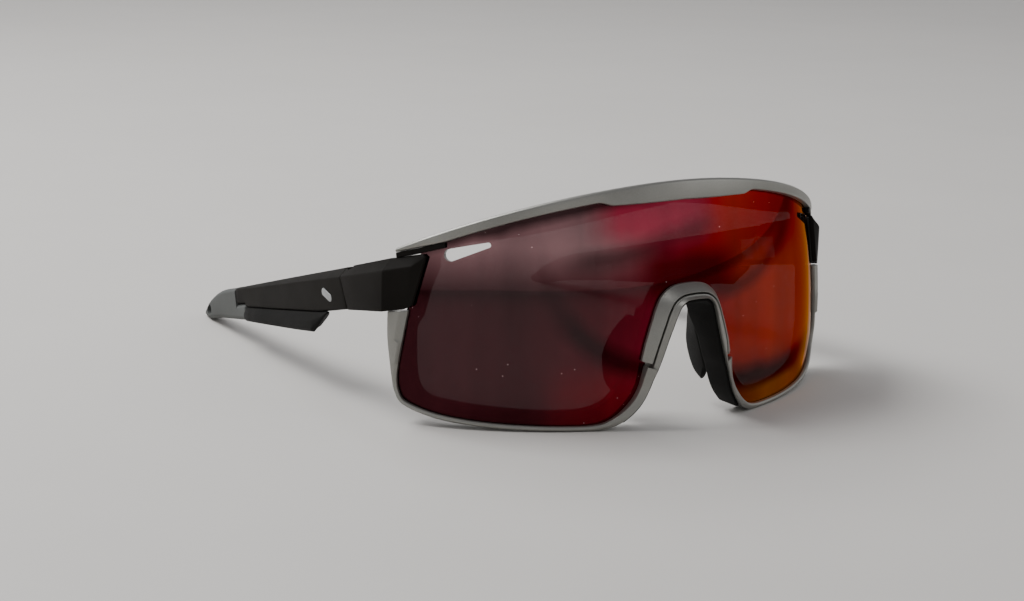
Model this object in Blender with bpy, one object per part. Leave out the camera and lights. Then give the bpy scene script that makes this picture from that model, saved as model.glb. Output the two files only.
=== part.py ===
"""Wraparound shield sunglasses: a one-piece lens in a rimmed front, with two folding temples.

Every number below is in millimetres until MM turns it into metres. The front of the object faces -Y,
its right half lies at +X, and it stands on Z = 0 on the two lower lobes of its rim and its temple tips.

Pieces of the front are drawn on the lens surface: u is the distance round the lens from its middle,
v the height above the ground, and w the distance out from the lens's front face. Pieces of a temple
are drawn along the temple: s runs back from the hinge, h up across the arm, and t inward from its
outer face.
"""

import math

import bmesh
import bpy
from mathutils import Vector

MM = 0.001
GAP = 0.3  # left between any two pieces that touch

# Lens surface
LENS_RADIUS = 83.0
BULGE_RADIUS = 172.0
BULGE_HEIGHT = 43.0
LENS_LEAN = 0.146
LEAN_HEIGHT = 29.0
LENS_THICKNESS = 1.6
TUCK = 2.6  # how much further back the upper corners lie than on a plain barrel
TUCK_U = 73.0
TUCK_LOW = 12.0
TUCK_HIGH = 46.0
TUCK_IN = 0.5
TUCK_BACK = 0.86
TUCK_DROP = 0.22  # and how much lower, as a share of that
FRONT_SHIFT = -81.9  # puts the middle of the whole length at Y = 0
FRONT_LIFT = 0.11  # puts the lower lobes of the rim on the ground

# Front frame
BROW_HEIGHT = 62.3
BROW_END = 75.4
BROW_CREST = 10.0  # half length of the rounded crest at the middle of the brow's top edge
BROW_SLOPE = 0.022
BROW_CURVE = 0.00272
BROW_ROOF = 1.7
BROW_DEPTH = 2.8
BROW_MIDDLE_LOW = 57.4
BROW_MIDDLE_SLOPE = 0.027
BROW_STEP = (19.5, 4.7)  # where the deep middle starts to end, and over what length
BROW_STRAIGHT = 62.0  # the lower edge runs straight outside this place
BROW_STRAIGHT_SLOPE = 0.264
BROW_PROUD = 2.3
BROW_THINNING = 0.8
CLIP_START = 62.5
CLIP_STEP = 69.6
CLIP_BACK = -1.5
CLIP_HEIGHT = 0.9
COLUMN_U = 60.0
COLUMN_FOOT = 12.5
COLUMN_DIP = 0.007
CARRIER_FRONT = -LENS_THICKNESS - GAP
CARRIER_BACK = -4.4
RIM_BACK = -LENS_THICKNESS
SADDLE_FRONT = CARRIER_BACK - GAP
SADDLE_BACK = -7.4
SADDLE_LEG_BACK = -5.8
SADDLE_LEG_TOP = 22.0
SADDLE_LEG_BLEND = 6.0
SADDLE_WIDTH = 2.6
LINING = 0.7  # thickness of the saddle where it lines the inside of the nose arch
LINING_SET_BACK = 1.2

# Temples
ARM_SLOPE = math.radians(13.77)
HINGE_Y = 57.9
HINGE_Z = 30.25
ARM_FACE_X = 68.8
ARM_INWARD = 10.0
ARM_CURVE_LENGTH = 116.0
ARM_CURVE_POWER = 1.6
PARTING_LEAN = math.tan(math.radians(14.5))
HINGE_AXIS_X = 64.3
HINGE_AXIS_S = -0.6
ARM_THICKNESS = 6.0
ARM_THINNING = 1.8
ARM_THIN_AT = 45.0
ARM_LOW = -5.0
ARM_RISE = 0.0565
ARM_RISE_START = 16.0
ARM_END = 80.2
FACET_EDGE = 3.5
FACET_RISE = 2.4
FACET_FLATTENING = 1.8
FACET_FLAT_AT = 77.0
STEP_HEIGHT = -0.7
GRIP_START = 11.5
GRIP_LEAD = 12.0
GRIP_SLANT = 1.7
GRIP_END = 72.3
GRIP_FRONT_SLOPE = 0.55
GRIP_LOW = -10.05
GRIP_LOW_START = 23.0
GRIP_RISE = 0.086
GRIP_SWELL = 1.1
GRIP_SWELL_DEPTH = 5.0  # the swell is full where the grip is at least this deep
GRIP_SHOULDER = 2.3
SOFT_EDGE = 0.9  # width of the bevel along the rubber's edges
TIP_START = 72.7
TIP_END = 114.7
TIP_HIGH = 4.0
TIP_LOW = -5.6
TIP_THICKNESS = 4.5
TIP_THINNING = 1.6
DROOP_START = 87.0
DROOP = 5.6
DROOP_POWER = 2.2
RISE_LENGTH = 25.0  # the tip's lower edge rises over this length behind its start
LIFT_START = 108.0
LIFT = 1.4
HOLE_S = (106.6, 109.0)
HOLE_H = -1.3
HOLE_RADIUS = 1.4
CORE_START = 64.0
CORE_END = 101.0

# Temple hinge
BLOCK_RELIEF_REACH = 9.0
ARM_RELIEF_LEVELS = (-4.3, 4.2)
LEAF_BORE_REACH = 6.0
BARREL_RADIUS = 1.5
HINGE_RELIEF = 2.5
SCREW_RADIUS = 0.6
KNUCKLE_LEVELS = (-3.9, -2.0, 1.0, 2.9)  # heights where one knuckle ends and the next begins
LEAF_PLATE = 1.2
LEAF_LENGTH = 8.5

# Nose pads
PAD_AXIS_LOW = (12.9, 9.5, 12.0)
PAD_AXIS_HIGH = (8.6, 9.6, 26.6)
PAD_REAR_EDGE = (
    (9.6, 13.5, 27.0),
    (11.6, 16.8, 22.5),
    (13.2, 19.1, 16.0),
    (14.0, 17.0, 9.8),
    (14.2, 13.0, 7.2),
)
PAD_BEAD = 1.15
PAD_PIN_RADIUS = 0.45
PIN_DEPTH = 8.0
LUG_LENGTH = 2.6
LUG_RADIUS = 1.5
NECK_RADIUS = 1.2
NECK_FOOT = (6.6, 32.0, -6.4)

# The lens edge from the head of the side column, round the lower lobe, up the nose to its middle:
# u, v, how far the rim reaches beyond the edge, and w at the rim's lens side and its outer side.
RIM_STATIONS = (
    (73.7, 29.75, 5.5, 1.0, 1.0),
    (75.9, 22.8, 4.2, 1.0, 0.9),
    (78.1, 16.0, 2.3, 0.9, 0.8),
    (79.2, 12.0, 1.3, 0.9, 0.8),
    (79.3, 8.5, 1.0, 0.9, 0.8),
    (77.6, 5.7, 1.0, 0.9, 0.8),
    (70.0, 3.25, 0.95, 0.9, 0.8),
    (60.9, 2.05, 0.95, 0.9, 0.8),
    (51.8, 1.45, 0.95, 0.9, 0.8),
    (42.0, 1.1, 0.95, 0.9, 0.8),
    (33.0, 1.0, 0.95, 1.0, 0.9),
    (27.5, 1.1, 1.05, 1.1, 1.1),
    (23.5, 1.85, 1.25, 1.4, 1.6),
    (20.2, 3.6, 1.5, 1.7, 2.4),
    (17.4, 6.0, 1.4, 2.0, 3.1),
    (15.5, 8.3, 1.3, 2.1, 3.5),
    (14.1, 11.0, 1.3, 2.2, 3.7),
    (13.2, 14.0, 1.6, 2.5, 3.9),
    (12.6, 16.4, 2.1, 2.9, 4.1),
    (11.6, 20.5, 2.6, 3.5, 4.3),
    (10.5, 24.0, 2.7, 3.8, 4.5),
    (9.3, 27.4, 2.7, 4.0, 4.9),
    (8.1, 30.6, 2.6, 4.2, 5.4),
    (6.5, 33.2, 2.4, 4.3, 5.7),
    (3.8, 34.9, 2.2, 4.4, 5.9),
    (0.0, 35.3, 2.2, 4.4, 6.0),
)
COVER_STATION = 18  # the bridge cover runs from here to the middle
SADDLE_STATION = 13
RIM_STEPS = 3

# Inner edge of the carrier, from the middle of the brow round to the middle of the nose: u, v, and
# the matching place on its outer edge, either a point under the brow or a rim station.
CARRIER_BROW = (
    (0.0, 57.0, 0.0),
    (9.0, 55.9, 9.5),
    (17.0, 54.7, 18.0),
    (33.3, 51.6, 34.0),
    (46.0, 49.3, 46.5),
    (56.0, 48.0, 57.0),
    (61.8, 46.6, 63.5),
    (65.2, 43.8, 67.9),
)
CARRIER_SIDE = (
    (65.9, 40.6, 70.6, 43.2),
    (68.6, 35.0, 73.0, 36.5),
    (71.0, 28.6, 75.2, 29.3),
)
CARRIER_RIM = (
    (73.4, 25.0, 1),
    (74.4, 18.0, 2),
    (74.8, 12.5, 3),
    (74.4, 9.4, 4),
    (72.2, 6.9, 5),
    (67.0, 5.9, 6),
    (60.0, 5.2, 7),
    (51.0, 4.6, 8),
    (42.0, 4.2, 9),
    (33.5, 4.2, 10),
    (28.5, 4.7, 11),
    (25.0, 5.7, 12),
    (22.4, 7.2, 13),
    (20.2, 9.4, 14),
    (18.6, 11.6, 15),
    (17.3, 14.0, 16),
    (16.4, 16.4, 17),
    (15.6, 18.8, 18),
    (14.4, 22.4, 19),
    (13.1, 26.0, 20),
    (11.8, 29.6, 21),
    (10.2, 33.2, 22),
    (8.0, 36.2, 23),
    (4.6, 38.2, 24),
    (0.0, 38.8, 25),
)

LENS_TOP_CORNER = (68.4, 46.4)
VENT_OUTER = (61.6, 44.5, 1.55)
VENT_INNER = (51.7, 47.4, 0.65)

COLOURS = {
    "gunmetal": ((0.30, 0.30, 0.28), 0.38, 0.85),
    "black_nylon": ((0.012, 0.011, 0.010), 0.48, 0.0),
    "red_mirror": ((0.35, 0.02, 0.03), 0.05, 0.9),
    "black_rubber": ((0.014, 0.014, 0.013), 0.75, 0.0),
    "grey_rubber": ((0.15, 0.16, 0.155), 0.7, 0.0),
    "steel": ((0.55, 0.55, 0.55), 0.3, 1.0),
    "badge_grey": ((0.35, 0.36, 0.36), 0.4, 0.6),
}


def clear_scene():
    for obj in list(bpy.data.objects):
        bpy.data.objects.remove(obj, do_unlink=True)


def material(name):
    """The Principled material of this name, made the first time that it is asked for."""
    found = bpy.data.materials.get(name)
    if found:
        return found
    colour, roughness, metallic = COLOURS[name]
    made = bpy.data.materials.new(name)
    made.use_nodes = True
    shader = made.node_tree.nodes["Principled BSDF"]
    shader.inputs["Base Color"].default_value = (*colour, 1.0)
    shader.inputs["Roughness"].default_value = roughness
    shader.inputs["Metallic"].default_value = metallic
    return made


def lens_base(u, v):
    """A place on the lens's front face, in millimetres."""
    angle = u / LENS_RADIUS
    radius = LENS_RADIUS - (v - BULGE_HEIGHT) ** 2 / (2 * BULGE_RADIUS)
    rise = max(v - TUCK_LOW, 0) / (TUCK_HIGH - TUCK_LOW)
    tuck = TUCK * abs(u / TUCK_U) ** 3 * rise
    x = radius * math.sin(angle) - math.copysign(TUCK_IN * tuck, u)
    y = LENS_RADIUS - radius * math.cos(angle) + LENS_LEAN * (v - LEAN_HEIGHT) + TUCK_BACK * tuck
    z = v + FRONT_LIFT - TUCK_DROP * tuck
    return Vector((x, y + FRONT_SHIFT, z))


def lens_normal(u, v):
    """The direction straight out of the lens."""
    step = 0.25
    along = lens_base(u + step, v) - lens_base(u - step, v)
    upward = lens_base(u, v + step) - lens_base(u, v - step)
    return along.cross(upward).normalized()


def lens_point(u, v, w):
    """A place on the lens surface, w out along its normal, in metres."""
    return (lens_base(u, v) + lens_normal(u, v) * w) * MM


def brow_top(u):
    """Height of the top of the brow bar."""
    return BROW_HEIGHT - BROW_SLOPE * (math.hypot(u, BROW_CREST) - BROW_CREST) - BROW_CURVE * u * u


def lens_top(u):
    """Height of the upper edge of the lens and the carrier, inside the brow bar."""
    return brow_top(u) - BROW_ROOF


def brow_bottom(u):
    """Height of the lower edge of the brow bar, which steps up outside its deep middle."""
    reach = abs(u)
    middle = BROW_MIDDLE_LOW - BROW_MIDDLE_SLOPE * reach
    outer = brow_top(u) - BROW_DEPTH
    if reach > BROW_STRAIGHT:
        fall = BROW_STRAIGHT_SLOPE * (reach - BROW_STRAIGHT)
        outer = brow_top(BROW_STRAIGHT) - BROW_DEPTH - fall
    step_start, step_length = BROW_STEP
    blend = min(max((reach - step_start) / step_length, 0), 1)
    blend = blend * blend * (3 - 2 * blend)
    return middle * (1 - blend) + outer * blend


def smooth(points, steps):
    """A Catmull-Rom curve through points of any width, with this many steps between neighbours."""
    out = []
    last = len(points) - 1
    for i in range(last):
        before = points[max(i - 1, 0)]
        start = points[i]
        end = points[i + 1]
        after = points[min(i + 2, last)]
        for k in range(steps):
            t = k / steps
            out.append(
                tuple(
                    0.5
                    * (
                        2 * b
                        + (c - a) * t
                        + (2 * a - 5 * b + 4 * c - d) * t * t
                        + (3 * b - a - 3 * c + d) * t**3
                    )
                    for a, b, c, d in zip(before, start, end, after)
                )
            )
    out.append(tuple(points[last]))
    return out


def mirrored(points):
    """The points, then their mirror image in u back to the start, without repeating the middle."""
    return points + [(-p[0], *p[1:]) for p in reversed(points[:-1])]


def with_normals(path):
    """Each point of a (u, v, ...) path with the unit vector that points out of the lens.

    On the side columns that vector is nearly level, so that their heads meet the end blocks.
    """
    out = []
    for i, point in enumerate(path):
        ahead = path[min(i + 1, len(path) - 1)]
        behind = path[max(i - 1, 0)]
        du = ahead[0] - behind[0]
        dv = ahead[1] - behind[1]
        length = math.hypot(du, dv)
        normal = (-dv / length, du / length)
        if abs(point[0]) > COLUMN_U and point[1] > COLUMN_FOOT:
            dip = COLUMN_DIP * (point[1] - COLUMN_FOOT)
            normal = (math.copysign(1.0, point[0]), -dip)
        out.append((point, normal))
    return out


def rim_path(first, steps=RIM_STEPS):
    """The rim's stations from this one over the nose to its mirror image, as a fine path."""
    half = smooth(RIM_STATIONS[first:], steps)
    return with_normals(mirrored(half))


def offset_point(point, normal, a, w):
    """A place that lies a beyond the lens edge and w out from the lens."""
    return lens_point(point[0] + normal[0] * a, point[1] + normal[1] * a, w)


def loft(name, rings, finish, closed=False):
    """An object skinned over rings with equal numbers of points; the ends are capped unless closed."""
    mesh = bmesh.new()
    rows = [[mesh.verts.new(p) for p in ring] for ring in rings]
    count = len(rows[0])
    pairs = list(zip(rows, rows[1:]))
    if closed:
        pairs.append((rows[-1], rows[0]))
    for row, following in pairs:
        for i in range(count):
            j = (i + 1) % count
            mesh.faces.new((row[i], row[j], following[j], following[i]))
    if not closed:
        mesh.faces.new(rows[0][::-1])
        mesh.faces.new(rows[-1])
    bmesh.ops.recalc_face_normals(mesh, faces=mesh.faces)
    return finished(name, mesh, finish)


def finished(name, mesh, finish):
    """Turns a bmesh into an object in the scene with its material."""
    data = bpy.data.meshes.new(name)
    mesh.to_mesh(data)
    mesh.free()
    data.materials.append(material(finish))
    data.shade_smooth()
    data.set_sharp_from_angle(angle=math.radians(30))
    obj = bpy.data.objects.new(name, data)
    bpy.context.scene.collection.objects.link(obj)
    return obj


def boolean(obj, other, operation):
    """Cuts or joins obj with another object, which becomes a hidden wire helper."""
    modifier = obj.modifiers.new(f"{operation.lower()}_{other.name}", "BOOLEAN")
    modifier.operation = operation
    modifier.object = other
    modifier.solver = "EXACT"
    other.hide_render = True
    other.display_type = "WIRE"


def rod(name, low, high, radius, finish, sides=16):
    """A round bar between two points in millimetres."""
    start = Vector(low)
    axis = Vector(high) - start
    across = axis.orthogonal().normalized()
    up = axis.normalized().cross(across)
    rings = []
    for end in (start, start + axis):
        ring = []
        for k in range(sides):
            turn = 2 * math.pi * k / sides
            spoke = across * math.cos(turn) + up * math.sin(turn)
            ring.append((end + spoke * radius) * MM)
        rings.append(ring)
    return loft(name, rings, finish)


# ---------------------------------------------------------------- front


def make_lens():
    """The shield: a thin curved sheet between the brow edge and the rim's lens edge."""
    half = smooth([s[:2] for s in RIM_STATIONS[3:]], 2)
    lower = mirrored(half)
    widest = lower[0][0]
    rows = 6
    mesh = bmesh.new()
    layers = []
    for w in (0.0, -LENS_THICKNESS):
        layer = []
        for u, v in lower:
            top_u = u / widest * LENS_TOP_CORNER[0]
            top_v = lens_top(top_u)
            column = []
            for k in range(rows + 1):
                t = k / rows
                column.append(mesh.verts.new(lens_point(u + (top_u - u) * t, v + (top_v - v) * t, w)))
            layer.append(column)
        layers.append(layer)
    front, back = layers
    count = len(lower)
    for i in range(count - 1):
        for k in range(rows):
            for layer in layers:
                mesh.faces.new((layer[i][k], layer[i + 1][k], layer[i + 1][k + 1], layer[i][k + 1]))
        for k in (0, rows):
            mesh.faces.new((front[i][k], front[i + 1][k], back[i + 1][k], back[i][k]))
    for i in (0, count - 1):
        for k in range(rows):
            mesh.faces.new((front[i][k], front[i][k + 1], back[i][k + 1], back[i][k]))
    bmesh.ops.recalc_face_normals(mesh, faces=mesh.faces)
    lens = finished("shield_lens", mesh, "red_mirror")
    for side, word in ((-1, "left"), (1, "right")):
        boolean(lens, vent_cutter(side, word), "DIFFERENCE")


def vent_cutter(side, word):
    """A tapering slot with round ends, cut through the lens below the brow."""
    outline = []
    along = Vector((VENT_INNER[0] - VENT_OUTER[0], VENT_INNER[1] - VENT_OUTER[1]))
    heading = math.atan2(along.y, along.x)
    for centre_u, centre_v, radius, turn in (
        (*VENT_OUTER, math.pi / 2),
        (*VENT_INNER, -math.pi / 2),
    ):
        for k in range(7):
            angle = heading + turn + math.pi * k / 6
            outline.append((centre_u + radius * math.cos(angle), centre_v + radius * math.sin(angle)))
    rings = [[lens_point(side * u, v, w) for u, v in outline] for w in (1.5, -3.5)]
    return loft(f"vent_cutter_{word}", rings, "red_mirror")


def rim_section(station, shoulder):
    """The rim's section: an L that holds the lens edge, or a plain band beside the bridge cover."""
    _, _, out, lens_side, outer = station
    lip = -0.3
    ridge = min(0.35, out - 0.5)
    if out > 4:
        ridge = 1.6
    if shoulder:
        lip = 1.25
        ridge = 1.6
    rise = 0.35 if not shoulder else 0.15
    if out > 2.2 and outer < 1.2:
        rise = 0.9
    return (
        (lip, GAP),
        (lip, lens_side),
        (ridge, lens_side + rise),
        (out, outer),
        (out, RIM_BACK),
        (GAP, RIM_BACK),
        (GAP, GAP),
    )


def make_rim():
    """One band from column to column, round both lobes and over the nose."""
    path = rim_path(0)
    first_shoulder = COVER_STATION * RIM_STEPS
    last_shoulder = len(path) - 1 - first_shoulder
    rings = []
    for i, (station, normal) in enumerate(path):
        shoulder = first_shoulder <= i <= last_shoulder
        kinds = [shoulder]
        if i == first_shoulder:
            kinds = [False, True]
        if i == last_shoulder:
            kinds = [True, False]
        for place, kind in enumerate(kinds):
            slip = 0.0
            if len(kinds) == 2:
                slip = 0.04 * (place - 0.5)
            moved = (station[0] - slip * normal[1], station[1] + slip * normal[0], *station[2:])
            rings.append([offset_point(moved, normal, a, w) for a, w in rim_section(station, kind)])
    loft("lower_rim", rings, "gunmetal")


def make_bridge_cover():
    """The arch clipped over the lens edge above the nose."""
    rings = []
    for station, normal in rim_path(COVER_STATION)[1:-1]:
        inner = station[3] - 0.1
        section = ((-1.5, GAP), (-1.5, 1.1), (-1.2, 1.45), (0.7, inner), (0.9, inner - 0.2), (0.9, 0.66))
        rings.append([offset_point(station, normal, a, w) for a, w in section])
    loft("bridge_cover", rings, "gunmetal")


def make_brow_bar():
    """The L-shaped bar over the top edge of the lens and the carrier."""
    rings = []
    count = 72
    for k in range(count + 1):
        u = BROW_END * (1 - 2 * k / count)
        low = brow_bottom(u)
        high = brow_top(u)
        shelf = max(lens_top(u) + GAP, low + 0.05)
        proud = BROW_PROUD - BROW_THINNING * (abs(u) / BROW_END) ** 2
        section = (
            (low, GAP),
            (low, proud - 0.4),
            (low + 0.25, proud - 0.1),
            (high - 0.55, proud),
            (high - 0.1, proud - 0.5),
            (high, proud - 1.2),
            (high - 0.1, CARRIER_BACK),
            (shelf, CARRIER_BACK),
            (shelf, GAP),
        )
        rings.append([lens_point(u, v, w) for v, w in section])
    loft("brow_bar", rings, "gunmetal")


def make_brow_clip(side, word):
    """The black clip that closes the underside of the brow bar outside the lens."""
    rings = []
    stations = [(CLIP_START + (CLIP_STEP - CLIP_START) * k / 4, GAP) for k in range(5)]
    stations += [(CLIP_STEP + 0.05 + (BROW_END - CLIP_STEP) * k / 3, CLIP_BACK) for k in range(4)]
    for u, back in stations:
        high = brow_bottom(u) - GAP
        low = high - CLIP_HEIGHT
        section = ((low, back), (low, 1.1), (high, 1.2), (high, back))
        rings.append([lens_point(side * u, v, w) for v, w in section])
    loft(f"brow_clip_{word}", rings, "black_nylon")


def carrier_half():
    """Matching (inner u, inner v, outer u, outer v) places, from the brow to the nose."""
    pairs = [(u, v, over, lens_top(over)) for u, v, over in CARRIER_BROW]
    pairs += list(CARRIER_SIDE)
    stations = with_normals(list(RIM_STATIONS))
    for u, v, index in CARRIER_RIM:
        station, normal = stations[index]
        reach = station[2] + (0.2 if index < SADDLE_STATION else 0.0)
        if index == len(RIM_STATIONS) - 1:
            normal = (0.0, -1.0)
        pairs.append((u, v, station[0] + normal[0] * reach, station[1] + normal[1] * reach))
    return pairs


def make_carrier():
    """The black ring behind the lens that every other piece of the front fastens to."""
    half = smooth(carrier_half(), 2)
    other = [(-a, b, -c, d) for a, b, c, d in reversed(half[1:-1])]
    rings = []
    for inner_u, inner_v, outer_u, outer_v in half + other:
        rings.append(
            [
                lens_point(outer_u, outer_v, CARRIER_FRONT),
                lens_point(outer_u, outer_v, CARRIER_BACK),
                lens_point(inner_u, inner_v, CARRIER_BACK),
                lens_point(inner_u, inner_v, CARRIER_FRONT),
            ]
        )
    loft("lens_carrier", rings, "black_nylon", closed=True)


def pad_axis_point(side, beyond):
    """A place on a pad's axis, this far above the pad's upper end."""
    low = Vector(PAD_AXIS_LOW)
    high = Vector(PAD_AXIS_HIGH)
    place = high + (high - low).normalized() * beyond
    return Vector((side * place.x, place.y + FRONT_SHIFT, place.z))


def saddle_lug(side, word):
    """The ear that the pad's pin hangs from."""
    ends = (pad_axis_point(side, GAP), pad_axis_point(side, LUG_LENGTH))
    return rod(f"saddle_lug_{word}", *ends, LUG_RADIUS, "black_rubber")


def lug_neck(side, word):
    """The neck from the saddle to its ear."""
    u, v, w = NECK_FOOT
    foot = lens_point(side * u, v, w) / MM
    head = pad_axis_point(side, LUG_LENGTH / 2 + 0.2)
    return rod(f"lug_neck_{word}", head, foot, NECK_RADIUS, "black_rubber")


def make_saddle():
    """The rubber arch that lies against the nose, behind the carrier, with a lining inside the rim."""
    rings = []
    for station, normal in rim_path(SADDLE_STATION, 2):
        wall = station[2] + GAP
        inner = wall + LINING
        front = station[4] - LINING_SET_BACK
        deep = min(max((station[1] - SADDLE_LEG_TOP) / SADDLE_LEG_BLEND, 0), 1)
        back = SADDLE_LEG_BACK + (SADDLE_BACK - SADDLE_LEG_BACK) * deep
        section = (
            (wall, SADDLE_FRONT),
            (wall, front),
            (inner, front),
            (inner, back + 0.6),
            (inner - 0.6, back),
            (inner - SADDLE_WIDTH + 0.5, back),
            (inner - SADDLE_WIDTH, back + 0.5),
            (inner - SADDLE_WIDTH, SADDLE_FRONT),
        )
        rings.append([offset_point(station, normal, a, w) for a, w in section])
    saddle = loft("nose_saddle", rings, "black_rubber")
    for side, word in ((-1, "left"), (1, "right")):
        boolean(saddle, lug_neck(side, word), "UNION")
        boolean(saddle, saddle_lug(side, word), "UNION")
        boolean(saddle, pin_rod(f"lug_bore_{word}", side, PAD_PIN_RADIUS + GAP, 0.5), "DIFFERENCE")


def pin_rod(name, side, radius, extra):
    """A bar on the pad's axis, from inside the pad's bead up through the lug."""
    ends = (pad_axis_point(side, -PIN_DEPTH - extra), pad_axis_point(side, LUG_LENGTH + extra))
    return rod(name, *ends, radius, "steel", 12)


def make_pad(side, word):
    """A rubber wing that hangs behind the saddle and spreads outward to the side of the nose."""
    rear = smooth(PAD_REAR_EDGE, 3)
    low = Vector(PAD_AXIS_LOW)
    high = Vector(PAD_AXIS_HIGH)
    down = (low - high).normalized()
    rings = []
    count = len(rear)
    for k, point in enumerate(rear):
        t = k / (count - 1)
        root = high.lerp(low, t)
        edge = Vector(point)
        blade = edge - root
        across = blade.cross(down).normalized()
        forward = across.cross(down).normalized()
        if forward.dot(blade) < 0:
            forward.negate()
        ring = []
        for j in range(5):
            angle = math.pi / 2 + math.pi * j / 4
            ring.append(root + across * (PAD_BEAD * math.sin(angle)) + forward * (PAD_BEAD * math.cos(angle)))
        for share, half in ((0.5, 1.0), (0.82, 0.75), (0.97, 0.4)):
            ring.append(root + blade * share - across * half)
        for share, half in ((0.97, 0.4), (0.82, 0.75), (0.5, 1.0)):
            ring.append(root + blade * share + across * half)
        rings.append([Vector((side * p.x, p.y + FRONT_SHIFT, p.z)) * MM for p in ring])
    pad = loft(f"nose_pad_{word}", rings, "black_rubber")
    boolean(pad, pin_rod(f"pad_bore_{word}", side, PAD_PIN_RADIUS + GAP, 0.5), "DIFFERENCE")


# ---------------------------------------------------------------- temples


def arm_face(s):
    """X distance of the outer face of a temple from the middle plane, at s behind the hinge."""
    return ARM_FACE_X - ARM_INWARD * (max(s, 0) / ARM_CURVE_LENGTH) ** ARM_CURVE_POWER


def arm_point(side, s, h, t):
    """A place on a temple, in metres: s back along it, h up across it, t inward from its face."""
    y = HINGE_Y + s * math.cos(ARM_SLOPE) + h * math.sin(ARM_SLOPE) + FRONT_SHIFT
    z = HINGE_Z - s * math.sin(ARM_SLOPE) + h * math.cos(ARM_SLOPE)
    return Vector((side * (arm_face(s) - t), y, z)) * MM


def hinge_point(side, s, h, inward):
    """A place near the temple hinge, measured from its axis, in metres."""
    back = HINGE_AXIS_S + s
    y = HINGE_Y + back * math.cos(ARM_SLOPE) + h * math.sin(ARM_SLOPE) + FRONT_SHIFT
    z = HINGE_Z - back * math.sin(ARM_SLOPE) + h * math.cos(ARM_SLOPE)
    return Vector((side * (HINGE_AXIS_X - inward), y, z)) * MM


def arm_bottom(s):
    """Lower edge of the arm: it rises towards the tip along the top of the grip."""
    return ARM_LOW + ARM_RISE * max(s - ARM_RISE_START, 0)


def arm_thickness(s):
    return ARM_THICKNESS - ARM_THINNING * min(max(s / ARM_THIN_AT, 0), 1)


def facet_rise(s):
    """How far the sloping upper facet climbs above the side face."""
    return FACET_RISE - FACET_FLATTENING * min(max(s / FACET_FLAT_AT, 0), 1)


def arm_section(s, bottom, parting=0.0):
    """Points round the arm at s; parting leans the whole section to match the joint line."""
    thick = arm_thickness(s)
    rise = facet_rise(s)
    inset = 0.6 + rise * 0.9
    outline = (
        (0.0, bottom + 0.5),
        (0.0, FACET_EDGE),
        (inset, FACET_EDGE + rise),
        (thick - 0.6, FACET_EDGE + rise),
        (thick, FACET_EDGE - 0.6 + rise),
        (thick, bottom + 0.6),
        (thick - 0.6, bottom),
        (0.5, bottom),
    )
    return [(s + parting * h, h, t) for t, h in outline]


def make_arm(side, word):
    """The black nylon arm, from the joint line back to the step where the rubber tip begins."""
    rings = [[arm_point(side, *p) for p in arm_section(GAP / 2, arm_bottom(0), PARTING_LEAN)]]
    for s in (4, 10, 16, 24, 32, 40, 48, 56, 63, GRIP_END + GAP - 0.05):
        rings.append([arm_point(side, *p) for p in arm_section(s, arm_bottom(s))])
    for s in (GRIP_END + GAP, 76, ARM_END):
        rings.append([arm_point(side, *p) for p in arm_section(s, STEP_HEIGHT)])
    arm = loft(f"temple_arm_{word}", rings, "black_nylon")
    relief = barrel_relief(side, f"arm_relief_{word}", *ARM_RELIEF_LEVELS, BARREL_RADIUS + 0.5)
    boolean(arm, relief, "DIFFERENCE")
    boolean(arm, leaf_pocket(side, f"arm_pocket_{word}", 1), "DIFFERENCE")
    boolean(arm, core_strip(side, f"arm_slot_{word}", GAP), "DIFFERENCE")
    boolean(arm, badge_plate(side, f"badge_pocket_{word}", GAP), "DIFFERENCE")


def grip_bottom(s):
    """Lower edge of the grip: a slanting front, then a line that rises towards the tip."""
    front = arm_bottom(s) - GAP - 0.5 - (s - GRIP_START) * GRIP_FRONT_SLOPE
    run = GRIP_LOW + (s - GRIP_LOW_START) * GRIP_RISE
    return max(front, run)


def make_grip(side, word):
    """The rubber grip under the arm, wider than the arm below a sloping shoulder."""
    rings = []
    for s in (GRIP_START, 13, 15, 17, 19, 20.5, 23, 26, 30, 36, 44, 52, 62, GRIP_END):
        top = arm_bottom(s) - GAP
        bottom = grip_bottom(s)
        depth = top - bottom
        thick = arm_thickness(s)
        swell = GRIP_SWELL * min(depth / GRIP_SWELL_DEPTH, 1)
        shoulder = top - min(GRIP_SHOULDER, depth * 0.45)
        edge = min(SOFT_EDGE, depth * 0.2)
        ease = min((s - GRIP_START) / GRIP_LEAD, 1)
        far = 0.9 + (thick + swell - 0.9) * ease
        far_bottom = grip_bottom(max(s - GRIP_SLANT * far, GRIP_START))
        far_bottom = max(bottom, min(far_bottom, top - 0.5))
        far_depth = top - far_bottom
        far_edge = min(SOFT_EDGE, far_depth * 0.2)
        outline = (
            (0.1, top),
            (-swell, shoulder),
            (-swell, bottom + edge),
            (edge - swell, bottom),
            (far - far_edge, far_bottom),
            (far, far_bottom + far_edge),
            (far, top - min(GRIP_SHOULDER, far_depth * 0.45)),
            (far - 0.1 - swell * ease, top),
        )
        rings.append([arm_point(side, s, h, t) for t, h in outline])
    loft(f"temple_grip_{word}", rings, "black_rubber")


def tip_top(s):
    """Upper edge of the rubber tip, which rolls down at its end."""
    droop = max(s - DROOP_START, 0) / (TIP_END - DROOP_START)
    return TIP_HIGH - DROOP * droop**DROOP_POWER


def tip_bottom(s):
    """Lower edge of the rubber tip, which rises first and lifts again at its end."""
    lift = max(s - LIFT_START, 0) / (TIP_END - LIFT_START)
    return TIP_LOW + LIFT * (min((s - TIP_START) / RISE_LENGTH, 1) + lift**2)


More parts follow.
